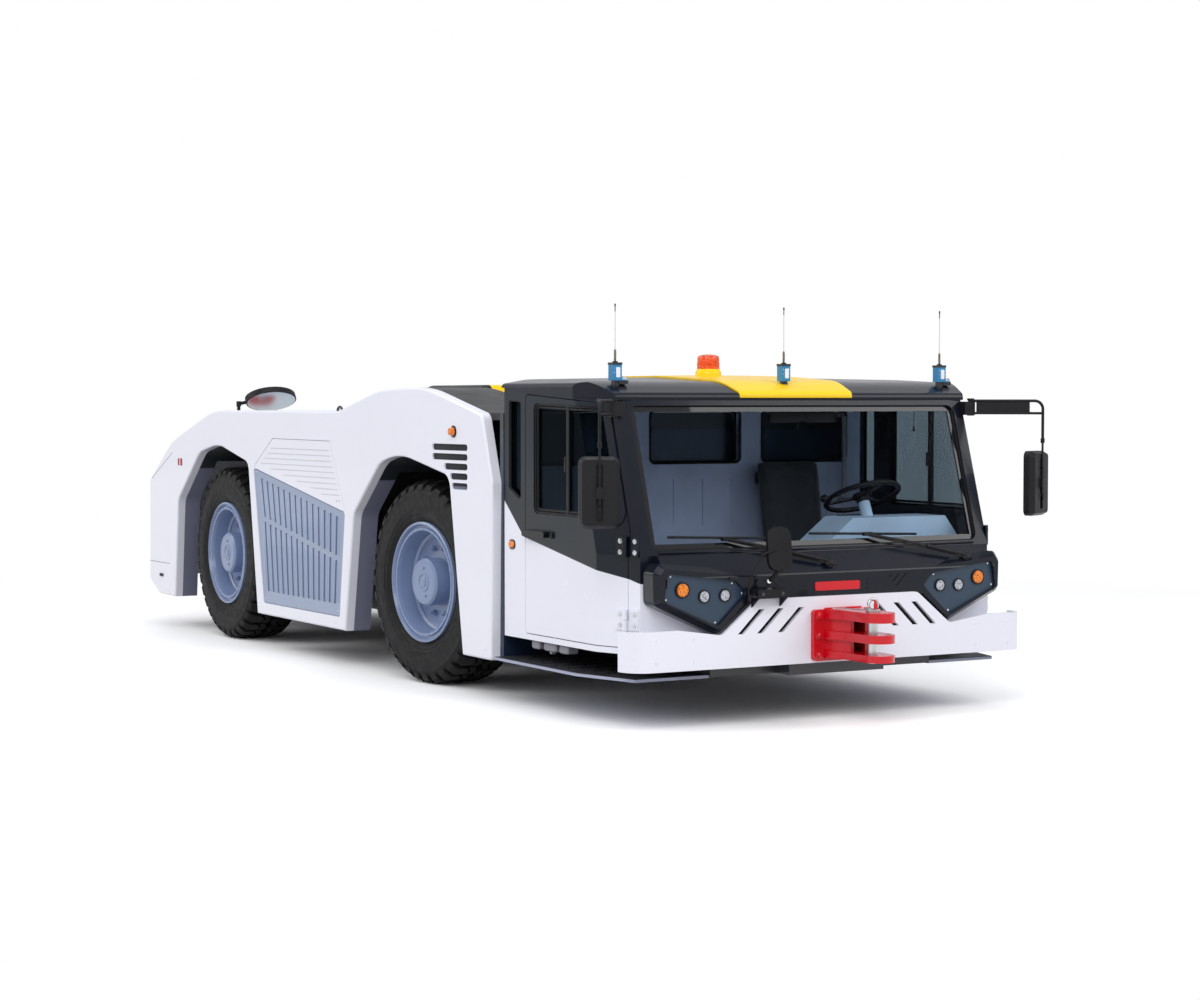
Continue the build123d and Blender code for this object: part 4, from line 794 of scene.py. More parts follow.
rimTrim = {
    # count, circle radius, height along the axle, head radius, head height, head segments
    "domes": ((32, 0.3105, 0.172, 0.0042, 0.003, 8), (10, 0.200, 0.073, 0.0095, 0.016, 10)),
    "hubFace": 0.169,
    "hubPlug": [(0.030, 0.169), (0.029, 0.173), (0.018, 0.1775), (0.007, 0.1765)],
    "drainPlugs": ((0.0, 0.082), (0.025, -0.080)),
    "hubScrews": (0.4, 2.0, 3.6, 5.2),
    # machined rings on the hub, then the pressed ring and the weld bead in the dish
    "rings": ((40, [(0.058, 0.1695), (0.056, 0.174), (0.046, 0.174), (0.044, 0.1695)]),
              (48, [(0.118, 0.1695), (0.1165, 0.1712), (0.1135, 0.1712), (0.112, 0.1695)]),
              (64, [(0.2725, 0.0612), (0.2700, 0.0650), (0.2660, 0.0640), (0.2640, 0.0590)]),
              (48, [(0.1440, 0.0478), (0.1435, 0.0530), (0.1400, 0.0540), (0.1395, 0.0478)])),
    "valve": [(0.255, 0.03, 0.056), (0.262, 0.031, 0.085), (0.268, 0.032, 0.118)],
}


def buildRimTrim(name):
    clay = Clay(wheelFrame(name))
    face = rimTrim["hubFace"]
    for count, reach, height, radius, rise, segments in rimTrim["domes"]:
        for x, y in circle(reach, count):
            clay.dome((x, y, height), radius, rise, segments=segments)
    for segments, profile in rimTrim["rings"]:
        clay.lathe(profile, segments, closed=True)
    clay.lathe(rimTrim["hubPlug"], 24)
    for x, y in rimTrim["drainPlugs"]:
        clay.bolt((x, y, face), 0.0085, 0.008)
    for angle in rimTrim["hubScrews"]:
        clay.dome((0.094 * cos(angle), 0.094 * sin(angle), face), 0.005, 0.003)
    clay.piece("rimTrim_" + name, slatePaint, "wheel_" + name)
    clay = Clay(wheelFrame(name))
    clay.tube(rimTrim["valve"], 0.0055, 10)
    clay.dome((0.268, 0.032, 0.116), 0.0075, 0.014, (0.1, 0, 1))
    clay.piece("valve_" + name, darkSteel, "wheel_" + name, slot="")


for wheelName in ("front_left", "front_right", "rear_left", "rear_right"):
    buildTyre(wheelName)
    buildRimTrim(wheelName)
print("stage: wheels")


# body sides: outlines are (station, height)

sides = {
    "skin": 1.250,
    "grilleFace": 1.244,
    "ventFace": 1.249,
    "backingFace": 1.186,
    "columns": 14,
    "top": ((3.540, 0.935), (4.878, 1.152)),
    "band": ((3.556, 0.676), (4.815, 0.880)),
    "foot": ((3.580, 0.395), (4.755, 0.398)),
    "bandHalf": 0.017,
    "flange": {"aside": 0.0185, "half": 0.0035, "proud": 0.0030},
    "backing": ((4.985, 1.232), (3.430, 0.985), (3.515, 0.296), (4.812, 0.294)),
    "vent": ((4.626, 1.412), (3.677, 1.409), (3.453, 0.973), (4.966, 1.216)),
    "ventMargin": 0.045,
    "hole": (0.0110, 0.0070),
    "holeGrid": {"start": (3.46, 1.385), "pitch": (0.040, 0.0345), "rows": 14, "columns": 40},
    "louvres": ((2.215, 1.401), (2.215, 1.3465), (2.060, 1.292), (1.985, 1.2375), (1.964, 1.183)),
    "louvreFront": 1.765,
    "louvreHalf": 0.021,
    "seams": (((6.55, 1.285), (6.985, 1.090)), ((6.62, 0.470), (7.040, 0.470))),
    "seamHalf": 0.0016,
    "skirtRivets": ((1.56, 0.29), (1.80, 0.29), (3.60, 0.275), (4.72, 0.275), (6.66, 0.275)),
    "grilleRivets": ((3.50, 1.00), (4.93, 1.19), (3.575, 0.352), (4.755, 0.350)),
    "reflectors": ((6.36, 0.034, 0.006), (6.415, 0.018, 0.005)),
    "catch": (6.79, 0.378),
}


def along(line, share):
    (s0, z0), (s1, z1) = line
    return (s0 + (s1 - s0) * share, z0 + (z1 - z0) * share)


def buildGrilleTrim():
    # rolled flanges down both sides of every slot, and a shallow crease between neighbours, in a lighter copy
    # of the grille's paint as a painted highlight
    clay = Clay(onSide(sides["grilleFace"]))
    bandHalf, flange = sides["bandHalf"], sides["flange"]
    for mark in range(2 * sides["columns"] + 1):
        share = mark / (2 * sides["columns"])
        top, band, foot = (along(sides[key], share) for key in ("top", "band", "foot"))
        for upper, lower in ((top, (band[0], band[1] + bandHalf)), ((band[0], band[1] - bandHalf), foot)):
            for aside in (-flange["aside"], flange["aside"]) if mark % 2 else (0.0,):
                rings = []
                for step, swell in ((0.005, 0.2), (0.02, 1), (0.975, 1), (0.99, 0.2)):
                    spot = Vector(lower).lerp(Vector(upper), step)
                    half, proud = flange["half"] * swell, flange["proud"] * swell
                    section = ((-half, -0.001), (-half * 0.4, proud), (half * 0.4, proud), (half, -0.001))
                    rings.append([(spot.x + aside + across, spot.y, out) for across, out in section])
                clay.rings(rings)
    clay.mirror().piece("grilleFlanges", flangeHighlightPaint)
    # black sheet behind the grille's slots, painted shade for the dark space behind them
    clay = Clay(onSide(sides["backingFace"]))
    clay.slab(sides["backing"], -0.004, 0.0)
    clay.mirror().piece("grilleShadeBacking", blackPlastic)


def insideVent(s, z):
    corners = sides["vent"]
    for (s0, z0), (s1, z1) in zip(corners, corners[1:] + corners[:1]):
        edge = Vector((s1 - s0, z1 - z0)).normalized()
        if edge.x * (z - z0) - edge.y * (s - s0) < sides["ventMargin"]:
            return False
    return True


def buildPerforation():
    # each hole of the perforated panel is a black oval just proud of the face, painted shade for the dark
    # inside of the hole
    clay = Clay(onSide(sides["ventFace"]))
    wide, high = sides["hole"]
    grid = sides["holeGrid"]
    for row in range(grid["rows"]):
        z = grid["start"][1] - row * grid["pitch"][1]
        for column in range(grid["columns"]):
            s = grid["start"][0] + (column + 0.5 * (row % 2)) * grid["pitch"][0]
            if insideVent(s, z):
                outline = [(s + x, z + y) for x, y in roundedBar(wide, high, high * 0.49, 2)]
                clay.slab(outline, -0.0008, 0.0004)
    clay.mirror().piece("ventHoleShade", sealRubber)


def buildLouvreScoops():
    # each slot opens rearward over a pressed scoop; standing mostly above the liner's shade line, the scoops
    # are painted near black as painted shade inside the slots
    clay = Clay(onSide(sides["skin"]))
    front = sides["louvreFront"]
    for rear, height in sides["louvres"]:
        high, low = height + sides["louvreHalf"], height - sides["louvreHalf"]
        floor = ((rear + 0.004, -0.010), (rear - 0.03, -0.014), ((rear + front) / 2, -0.034),
                 (front - 0.004, -0.056))
        clay.rings([[(s, low, depth), (s, high, depth), (s, high, depth - 0.003), (s, low, depth - 0.003)]
                    for s, depth in floor])
        for edge in (low - 0.002, high - 0.001):
            clay.block((front - 0.004, edge, -0.058), (rear + 0.004, edge + 0.003, -0.012), 0.0005)
    clay.mirror().piece("louvreScoops", linerPaintAndShade)


def buildSideTrim():
    clay = Clay(onSide(sides["skin"]))
    for start, end in sides["seams"]:
        run = (Vector(end) - Vector(start)).normalized()
        out = Vector((-run.y, run.x)) * sides["seamHalf"]
        outline = [Vector(start) - out, Vector(end) - out, Vector(end) + out, Vector(start) + out]
        clay.slab(outline, -0.001, 0.0003)
    clay.mirror().piece("sideSeams", sealRubber)
    clay = Clay(onSide(sides["skin"]))
    for s, z in sides["skirtRivets"]:
        clay.dome((s, z, 0.0), 0.006, 0.0035)
    for s, z in sides["grilleRivets"]:
        clay.dome((s, z, -0.006), 0.0045, 0.003)
    clay.mirror().piece("sideFixings", whitePaint)
    clay = Clay()
    for station, wide, corner in sides["reflectors"]:
        clay.at(onSide(sides["skin"], station, 1.222))
        clay.slab(roundedBar(wide, 0.052, corner), -0.001, 0.005, 0.0015)
    clay.mirror().piece("sideReflectors", redLens)
    clay = Clay(onSide(sides["skin"], *sides["catch"]))
    clay.slab(roundedBar(0.070, 0.022, 0.008), -0.001, 0.008, 0.002)
    clay.lathe([(0.009, 0.006), (0.009, 0.014), (0.005, 0.016)], 16)
    clay.mirror().piece("chargeCatch", darkSteel)


buildGrilleTrim()
buildPerforation()
buildLouvreScoops()
buildSideTrim()
print("stage: body sides")


# cab: the walls' outer faces as functions, then what is fixed on them

cab = {"half": 1.200, "corner": (1.107, 0.121), "kink": 0.403, "rake": 0.307, "foot": 0.880, "bow": 0.061,
       "screen": 0.078}


def wallX(station, z):
    # outer face of the side wall, slanted at the front corner
    lean = cab["rake"] * max(0.0, z - cab["foot"])
    share = (station - cab["corner"][1] - lean) / (cab["kink"] - cab["corner"][1])
    return cab["corner"][0] + (cab["half"] - cab["corner"][0]) * min(1.0, max(0.0, share))


def onWall(station, z, out):
    return Vector((wallX(station, z) + out, worldY(station), z))


def onScreen(x, z, out):
    # a point on the windscreen's outer face, moved forward by out
    bow = cab["bow"] * (x / cab["corner"][0]) ** 2
    return Vector((x, worldY(cab["screen"] + bow + cab["rake"] * (z - cab["foot"]) - out), z))


door = {
    "window": [(0.262, 1.058, 0.04), (0.440, 1.634, 0.04), (1.078, 1.652, 0.04), (1.078, 1.062, 0.04)],
    # window seals: inset of the outline, depth, radius, segments
    "seals": ((0.004, -0.013, 0.009, 8), (0.022, -0.017, 0.007, 6)),
    "divider": 0.722,
    "grip": (1.031, 0.955),
    "gripSize": (0.236, 0.030, 0.011),
    "lock": (0.872, 0.952),
    "lockProfile": [(0.017, -0.002), (0.017, 0.008), (0.013, 0.011), (0.006, 0.0115)],
    "hingeFeet": (0.505, 0.875),
    "hingeBolts": (0.024, 0.080),
    # how far along the slanted wall each hinge leaf's bolts stand
    "leaves": {"Frame": 0.030, "Door": 0.128},
    "pull": ((1.142, 0.62), (1.115, 0.64), (1.112, 0.74), (1.115, 0.84), (1.142, 0.86)),
    "pullHeight": 1.00,
}


def buildDoorTrim(hand, name):
    body = "door_" + name
    clay = Clay()
    for margin, depth, radius, segments in door["seals"]:
        outline = spread(inset(rounded(door["window"]), margin))
        clay.tube([onWall(s, z, depth) for s, z in outline], radius, segments, closed=True)
    s = door["divider"]
    clay.block((1.171, worldY(s - 0.014), 1.07), (1.1915, worldY(s + 0.014), 1.640), 0.003)
    clay.block((1.171, worldY(s + 0.018), 1.29), (1.1935, worldY(s + 0.034), 1.37), 0.003)
    clay.toHand(hand).piece("windowSeal_" + name, sealRubber, body)
    # grip over the handle block, and the lock
    clay = Clay(onSide(1.234, *door["grip"]))
    clay.slab(roundedBar(*door["gripSize"]), -0.004, -0.0005, 0.003)
    clay.at(onSide(cab["half"], *door["lock"])).lathe(door["lockProfile"], 24)
    clay.toHand(hand).piece("doorGrip_" + name, blackPlastic, body)
    # hinge bolts on both leaves
    run = Vector((cab["half"] - cab["corner"][0], cab["kink"] - cab["corner"][1])).normalized()
    out = Vector((run.y, -run.x))
    for leaf, reach in door["leaves"].items():
        clay = Clay()
        spot = Vector(cab["corner"]) + run * reach + out * 0.008
        for foot in door["hingeFeet"]:
            for up in door["hingeBolts"]:
                clay.bolt((spot.x, worldY(spot.y), foot + up), 0.0105, 0.008, (out.x, out.y, 0))
        rider = "chassis" if leaf == "Frame" else body
        clay.toHand(hand).piece(f"hingeBolts{leaf}_{name}", zincSteel, rider)
    # inner pull and latch
    clay = Clay()
    clay.tube([(x, worldY(s), door["pullHeight"]) for x, s in door["pull"]], 0.010, 10)
    clay.block((1.128, worldY(0.98), 0.90), (1.150, worldY(1.08), 1.00), 0.006)
    clay.toHand(hand).piece("doorPull_" + name, blackPlastic, body)


cabTrim = {
    "quarterWindow": [(1.225, 1.120, 0.02), (1.225, 1.662, 0.02), (1.362, 1.668, 0.02), (1.362, 1.190, 0.02)],
    "sill": 1.150,
    "sillVents": ((0.82, 0.10), (0.97, 0.14), (1.13, 0.09)),
    # screen seal: rails across it at two heights, posts beside it
    "rails": (0.9035, 1.6425),
    "railX": (-1.00, -0.75, -0.5, -0.25, 0, 0.25, 0.5, 0.75, 1.00),
    "posts": (0.935, 1.10, 1.30, 1.50, 1.61),
    "postX": 1.0355,
}


def buildCabTrim():
    clay = Clay()
    outline = spread(rounded(cabTrim["quarterWindow"], 4))
    clay.tube([onWall(s, z, -0.010) for s, z in outline], 0.008, 8, closed=True)
    clay.mirror().piece("quarterSeals", sealRubber)
    clay = Clay()
    for s, wide in cabTrim["sillVents"]:
        clay.at(onSide(cabTrim["sill"], s, 0.350)).slab(roundedBar(wide, 0.045, 0.015), -0.05, 0.012, 0.006)
    clay.at(onSide(cabTrim["sill"], 0.97, 0.322)).lathe([(0.010, -0.02), (0.010, 0.004), (0.006, 0.008)], 12)
    clay.mirror().piece("sillVents", greyPlastic)
    clay = Clay()
    for z in cabTrim["rails"]:
        clay.tube([onScreen(x, z, 0.004) for x in cabTrim["railX"]], 0.0075, 8)
    for hand in (-1, 1):
        clay.tube([onScreen(hand * cabTrim["postX"], z, 0.002) for z in cabTrim["posts"]], 0.0075, 8)
    clay.piece("screenSeal", sealRubber)


# each wiper: pivot, joint, and the blade's two ends, as (x, height)
wipers = (
    ((-0.034, 0.818), (-0.615, 0.957), (-0.938, 0.972), (-0.345, 0.953)),
    ((0.864, 0.823), (0.262, 0.960), (-0.097, 0.971), (0.608, 0.949)),
)
wiperParts = {
    "boss": [(0.024, -0.02), (0.024, 0.004), (0.018, 0.012), (0.018, 0.022), (0.010, 0.026)],
    "lift": (0, -0.016, 0.012),
    "secondArm": (0.022, 0, -0.020),
    "carrier": (0.06, 0.2, 0.35, 0.5, 0.65, 0.8, 0.94),
    "claws": (0.06, 0.27, 0.73, 0.94),
}


def buildWipers():
    clay = Clay()
    lift, apart = Vector(wiperParts["lift"]), Vector(wiperParts["secondArm"])
    for (px, pz), (jx, jz), start, end in wipers:
        pivot = Vector((px, worldY(0.004), pz))
        joint = onScreen(jx, jz, 0.036)
        clay.at(facing(pivot, (0, -0.82, 0.58))).lathe(wiperParts["boss"], 20)
        clay.block((-0.030, -0.018, 0.004), (0.030, 0.018, 0.020), 0.004)

        def arm(share, up=1.0):
            return pivot.lerp(joint, share) + lift * up

        def blade(share, out):
            return onScreen(*along((start, end), share), out)

        clay.at().tube([arm(0), arm(0.22), arm(0.6, 0.8), joint], 0.0062, 8)
        clay.tube([arm(0) + apart, arm(0.55, 0.8) + apart * 0.8, joint + apart * 0.5], 0.0042, 8)
        clay.tube([arm(0.10), arm(0.42)], 0.010, 8)
        # bowed carrier with its claws, blade rubber and the joint's block
        clay.tube([blade(t, 0.016 + 0.016 * sin(pi * t)) for t in wiperParts["carrier"]], 0.0060, 6)
        for t in wiperParts["claws"]:
            size = Vector((0.014, 0.008, 0.006))
            clay.block(blade(t, 0.014) - size, blade(t, 0.014) + size, 0.002)
        first, last = onScreen(*start, 0.014), onScreen(*end, 0.014)
        clay.tube([first.lerp(last, k / 8) for k in range(9)], 0.0070, 6)
        size = Vector((0.030, 0.010, 0.010))
        clay.block(joint - size, joint + size, 0.004)
    clay.piece("wipers", blackPlastic)


visors = {
    "station": 0.40,
    # blocks as low and high corners, y from the station
    "blocks": (((-0.135, 0, 1.545), (0.055, 0.012, 1.615), 0.004),
               ((0.095, 0, 1.545), (0.285, 0.012, 1.615), 0.004),
               ((0.050, 0.002, 1.550), (0.100, 0.024, 1.622), 0.005),
               ((-0.82, 0.015, 1.640), (0.00, 0.045, 1.668), 0.006),
               ((0.16, 0.015, 1.640), (0.96, 0.045, 1.668), 0.006)),
    "stem": (0.075, 0.012),
    "cords": ((-0.15, 0.16), (0.055, 0.11), (0.83, 0.13)),
    "tassel": [(0.006, -0.026), (0.0075, -0.02), (0.003, 0.008)],
}


def buildScreenTop():
    # double visor mirror, the blinds' boxes and their pull cords
    y = worldY(visors["station"])
    clay = Clay(shifted(0, y, 0))
    for low, high, edge in visors["blocks"]:
        clay.block(low, high, edge)
    stemX, stemY = visors["stem"]
    clay.tube([(stemX, stemY, 1.60), (stemX, stemY, 1.70)], 0.007, 8)
    for x, drop in visors["cords"]:
        clay.at(shifted(x, y + 0.02, 0)).tube([(0, 0, 1.66), (0, 0, 1.66 - drop)], 0.0018, 6)
        clay.at(shifted(x, y + 0.02, 1.65 - drop)).lathe(visors["tassel"], 10)
    clay.piece("visorSet", blackPlastic)


inside = {
    "seat": (0.54, 0.93),
    "leverX": 0.94,
    "levers": (0.78, 0.88),
    "knob": [(0.006, -0.02), (0.018, -0.008), (0.020, 0.006), (0.014, 0.02), (0.004, 0.024)],
    "railX": 0.98,
    "rail": ((1.335, 1.58), (1.290, 1.57), (1.285, 1.30), (1.285, 1.10), (1.335, 1.09)),
    "pedals": ((0.42, 0.07), (0.66, 0.06)),
    "rearWindows": ((-0.75, 0.60), (0.0, 0.606), (0.75, 0.60)),
    "rearSealFaces": (1.3635, 1.4145),
    "heaterBars": 9,
}


def buildCabInside():
    # seat lever, side box with two levers
    clay = Clay()
    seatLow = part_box("driver_seat")[0].z
    x, y = inside["seat"][0], worldY(inside["seat"][1])
    clay.block((x - 0.255, y + 0.10, seatLow + 0.02), (x - 0.245, y + 0.20, seatLow + 0.12), 0.003)
    clay.tube([(x - 0.262, y - 0.10, seatLow + 0.05), (x - 0.275, y - 0.12, seatLow + 0.05),
               (x - 0.275, y - 0.22, seatLow + 0.05)], 0.008, 8)
    clay.block((0.86, worldY(0.70), 0.415), (1.02, worldY(1.12), 0.80), 0.02)
    for s in inside["levers"]:
        clay.at(shifted(inside["leverX"], worldY(s), 0)).tube([(0, 0, 0.80), (0, -0.02, 0.93)], 0.007, 8)
        clay.at(shifted(inside["leverX"], worldY(s) - 0.022, 0.945)).lathe(inside["knob"], 14)
    clay.piece("leverBox", blackPlastic)
    clay = Clay()
    clay.tube([(inside["railX"], worldY(s), z) for s, z in inside["rail"]], 0.014, 12)
    clay.piece("grabRail", greyPlastic, slot="liner_paint")
    clay = Clay()
    for x, wide in inside["pedals"]:
        clay.at(facing((x, worldY(0.56), 0.50), (0, 0.75, 0.66)))
        clay.slab(roundedBar(wide, 0.12, 0.012), 0, 0.010, 0.003)
        for bar in range(-2, 3):
            outline = [(px, py + bar * 0.02) for px, py in roundedBar(wide - 0.014, 0.006, 0.002, 2)]
            clay.slab(outline, 0.009, 0.013)
        clay.at().tube([(x, worldY(0.555), 0.49), (x, worldY(0.47), 0.60)], 0.008, 8)
    clay.piece("pedals", darkSteel)
    # frames round the three rear windows, on both faces of the wall
    clay = Clay()
    for middle, width in inside["rearWindows"]:
        outline = spread([(middle + x, 1.46 + z) for x, z in roundedBar(width - 0.004, 0.296, 0.03)])
        for s in inside["rearSealFaces"]:
            clay.tube([(x, worldY(s), z) for x, z in outline], 0.0085, 8, closed=True)
    clay.piece("rearWindowSeals", sealRubber)
    # heater bars under the screen and the switch row on the binnacle
    clay = Clay()
    for bar in range(inside["heaterBars"]):
        x = 0.42 + bar * 0.034
        clay.block((x, worldY(0.296), 1.02), (x + 0.02, worldY(0.300), 1.03), 0.001)
    clay.at(shifted(0.54, worldY(0.50), 1.0365)).slab(roundedBar(0.34, 0.014, 0.004), -0.002, 0.004, 0.001)
    clay.piece("dashTrim", blackPlastic)


steeringHub = {
    "cap": [(0.052, -0.006), (0.058, 0.002), (0.052, 0.014), (0.034, 0.018), (0.012, 0.0185)],
    "button": [(0.030, 0.016), (0.029, 0.020), (0.012, 0.0215)],
    "knobPlace": (0.148, -0.142, 0.0),
    "knob": [(0.010, 0.008), (0.011, 0.028), (0.022, 0.036), (0.024, 0.052), (0.016, 0.066), (0.005, 0.069)],
}


def buildSteeringTrim():
    joint = joints["steering_wheel_turn"]
    clay = Clay(facing(joint["pos_m"], joint["axis"]))
    clay.lathe(steeringHub["cap"], 28)
    clay.lathe(steeringHub["button"], 24)
    # a spinner knob on the rim
    clay.at(clay.frame @ shifted(*steeringHub["knobPlace"])).lathe(steeringHub["knob"], 20)
    clay.piece("wheelHub", blackPlastic, "steering_wheel")


for hand, name in ((1, "left"), (-1, "right")):
    buildDoorTrim(hand, name)
buildCabTrim()
buildWipers()
buildScreenTop()
buildCabInside()
buildSteeringTrim()
print("stage: cab trim")


# seat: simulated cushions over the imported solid

seat = {
    "x": 0.54,
    "cushion": {"size": (0.47, 0.44, 0.105), "bulge": 0.012, "voxel": 0.0065},
    "back": {"width": 0.44, "thickness": 0.085, "bulge": 0.012, "voxel": 0.0065},
    "pad": {"size": (0.41, 0.080, 0.045), "bulge": 0.006, "voxel": 0.0055},
    "padPlace": (0.585, 1.333, 1.2175),
    "cells": (22, 22, 5),
    "channel": 0.006,
}


def cushionBlank(name, size, frameAt):
    # rounded slab with sides that pull in between the corners
    bm = bmesh.new()
    wide, deep, thick = size
    cells = seat["cells"]
    index = {}

    def at(key):
        if key not in index:
            u, v, w = (2 * value / count - 1 for value, count in zip(key, cells))
            pull = 1 - 0.025 * ((1 - u * u) * abs(v) ** 4 + (1 - v * v) * abs(u) ** 4)
            edge = 1 - 0.10 * abs(w) ** 3
            corner = 1 - 0.06 * (abs(u) * abs(v)) ** 4
            thin = 1 - 0.30 * max(abs(u), abs(v)) ** 6
            index[key] = bm.verts.new((u * wide / 2 * pull * edge * corner,
                                       v * deep / 2 * pull * edge * corner, w * thick / 2 * thin))
        return index[key]

    for axis in range(3):
        first, second = (other for other in range(3) if other != axis)
        for end in (0, cells[axis]):
            for a in range(cells[first]):
                for b in range(cells[second]):
                    loop = []
                    for da, db in ((0, 0), (1, 0), (1, 1), (0, 1)):
                        key = [0, 0, 0]
                        key[axis], key[first], key[second] = end, a + da, b + db
                        loop.append(at(tuple(key)))
                    bm.faces.new(loop)
    bmesh.ops.recalc_face_normals(bm, faces=bm.faces)
    bm.transform(frameAt)
    mesh = bpy.data.meshes.new(name)
    bm.to_mesh(mesh)
    bm.free()
    return placed(name, mesh)


def applyModifiers(made):
    bpy.context.view_layer.update()
    evaluated = made.evaluated_get(bpy.context.evaluated_depsgraph_get())
    mesh = bpy.data.meshes.new_from_object(evaluated)
    made.modifiers.clear()
    made.data = mesh


def inflate(made, voxel, limit):
    remesh = made.modifiers.new("remesh", "REMESH")
    remesh.mode = "VOXEL"
    remesh.voxel_size = voxel
    applyModifiers(made)
    rest = [vert.co.copy() for vert in made.data.vertices]
    settings = made.modifiers.new("cloth", "CLOTH").settings
    settings.use_pressure = True
    settings.uniform_pressure_force = 4.0
    settings.effector_weights.gravity = 0
    settings.quality = 4
    for step in range(1, 21):
        bpy.context.scene.frame_set(step)
    applyModifiers(made)
    bpy.context.scene.frame_set(1)
    for vert, home in zip(made.data.vertices, rest):
        moved = vert.co - home
        if moved.length > limit:
            vert.co = home + moved.normalized() * limit


def sewChannels(made, frameAt, lines):
    # stitched valleys pressed into the swollen cloth: (axis, place, from, to) in the cushion's own frame
    back, depth = frameAt.inverted(), seat["channel"]
    for vert in made.data.vertices:
        local = back @ vert.co
        for axis, place, low, high in lines:
            distance = abs(local[axis] - place) / seat["channel"]
            if distance < 2 and low < local[1 - axis] < high and local.z > 0:
                vert.co -= (frameAt.to_3x3() @ Vector((0, 0, 1))) * depth * max(0, 1 - distance / 2) ** 2


def buildCushion(name, plan, frameAt, lines):
    made = cushionBlank(name, plan["size"], frameAt)
    inflate(made, plan["voxel"], plan["bulge"])
    sewChannels(made, frameAt, lines)
    subdivide = made.modifiers.new("smooth", "SUBSURF")
    subdivide.levels = 1
    subdivide.render_levels = 1
    applyModifiers(made)
    made.data.materials.append(seatCloth)
    made.data.shade_smooth()
    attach(made, "chassis")
    return made


def buildSeat():
    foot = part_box("driver_seat")[0].z
    x = seat["x"]
    lines = [(0, -0.13, -0.18, 0.19), (0, 0.13, -0.18, 0.19), (1, 0.02, -0.13, 0.13)]
    buildCushion("seatCushion", seat["cushion"], shifted(x, worldY(0.925), foot + 0.068), lines)
    height = 1.338 - (foot + 0.060)
    lean = Vector((0, 1.250 - 1.158, height)).normalized()
    middle = Vector((x, worldY((1.150 + 1.245) / 2 - 0.006), (foot + 0.075 + 1.325) / 2))
    side = Vector((1, 0, 0))
    turn = Matrix((side, lean, side.cross(lean))).transposed().to_4x4()
    plan = dict(seat["back"], size=(seat["back"]["width"], height * 0.98, seat["back"]["thickness"]))
    low, high = -height * 0.4, height * 0.30
    lines = [(0, -0.125, low, high), (0, 0.125, low, high), (1, high, -0.125, 0.125)]
    back = buildCushion("seatBack", plan, Matrix.Translation(middle) @ turn, lines)
    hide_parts("driver_seat")
    padX, station, z = seat["padPlace"]
    buildCushion("wallPad", seat["pad"], facing((padX, worldY(station), z), (0, -1, 0)), [])
    # moulded shell under the cushion
    clay = Clay(shifted(x, worldY(0.93), foot))
    clay.slab(roundedBar(0.46, 0.44, 0.05), 0.001, 0.016, 0.004)
    clay.piece("seatPan", blackPlastic)


buildSeat()
print("stage: seat")


# nose: lamps, badge bar, panel screws, bumper bolts

nose = {
    "front": -0.025,
    "badge": (0.0, 0.703, 0.285, 0.046),
    "panelFace": -0.005,
    "lensFace": -0.011,
    "panelScrews": ((0.640, 0.738), (1.008, 0.784), (1.034, 0.668), (0.741, 0.541), (0.578, 0.684)),
    "white": ((0.808, 0.676, 0.030), (0.684, 0.677, 0.030)),
    "whiteCells": ((0.0098, 6), (0.0190, 12)),
    "amber": (0.938, 0.713, 0.037),
    "amberPitch": 0.0088,
    "fenderLamp": (1.936, 1.490),
    "fenderFoot": [(0.034, -0.002), (0.034, 0.004), (0.030, 0.007), (0.026, 0.007), (0.026, -0.002)],
    "fenderRings": (0.006, 0.012, 0.018),
    "doorLamp": (1.322, 0.884),
    "bumperBolts": ((0.894, 0.353), (0.894, 0.466), (1.114, 0.353), (1.114, 0.466)),
    "slotShadeBacking": ((0.20, 0.462), (0.66, 0.462), (0.50, 0.615), (0.20, 0.615)),
}


def lampBezel(radius, proud, top):
    return [(radius + 0.004, -0.006), (radius + 0.004, proud), (radius + 0.001, top), (radius - 0.003, proud),
            (radius - 0.003, -0.004)]


def buildLampFaces():
    # white lamps: a bezel and rings of cells; amber lamps: a bezel and a faceted lens
    bezels, cells, ambers = Clay(), Clay(), Clay()
    for hand in (-1, 1):
        for x, z, radius in nose["white"]:
            face = onFront(nose["lensFace"], hand * x, z)
            bezels.at(face).lathe(lampBezel(radius, 0.0015, 0.0030), 40, closed=True)
            spots = [(0.0, 0.0)]
            for ring, count in nose["whiteCells"]:
                spots += circle(ring, count)
            for px, py in spots:
                cells.at(face).dome((px, py, 0.0), 0.0045, 0.0032, segments=8)
        x, z, radius = nose["amber"]
        face = onFront(nose["lensFace"], hand * x, z)
        bezels.at(face).lathe(lampBezel(radius, 0.002, 0.0035), 44, closed=True)
        profile = [(radius - 0.003, 0.0), (radius - 0.005, 0.005), (radius * 0.55, 0.0085)]
        ambers.at(face).lathe(profile + [(radius * 0.2, 0.0095)], 40)
        for row in range(-3, 4):
            for column in range(-3, 4):
                px, py = column * nose["amberPitch"], row * nose["amberPitch"]
                if hypot(px, py) < radius * 0.80:
                    height = 0.0088 - 0.0028 * hypot(px, py) / radius
                    ambers.dome((px, py, height - 0.0012), 0.0038, 0.0026, segments=6)
    bezels.piece("lampBezels", blackPlastic)
    cells.piece("lampCells", clearLens)
    ambers.piece("turnLenses", amberLens)


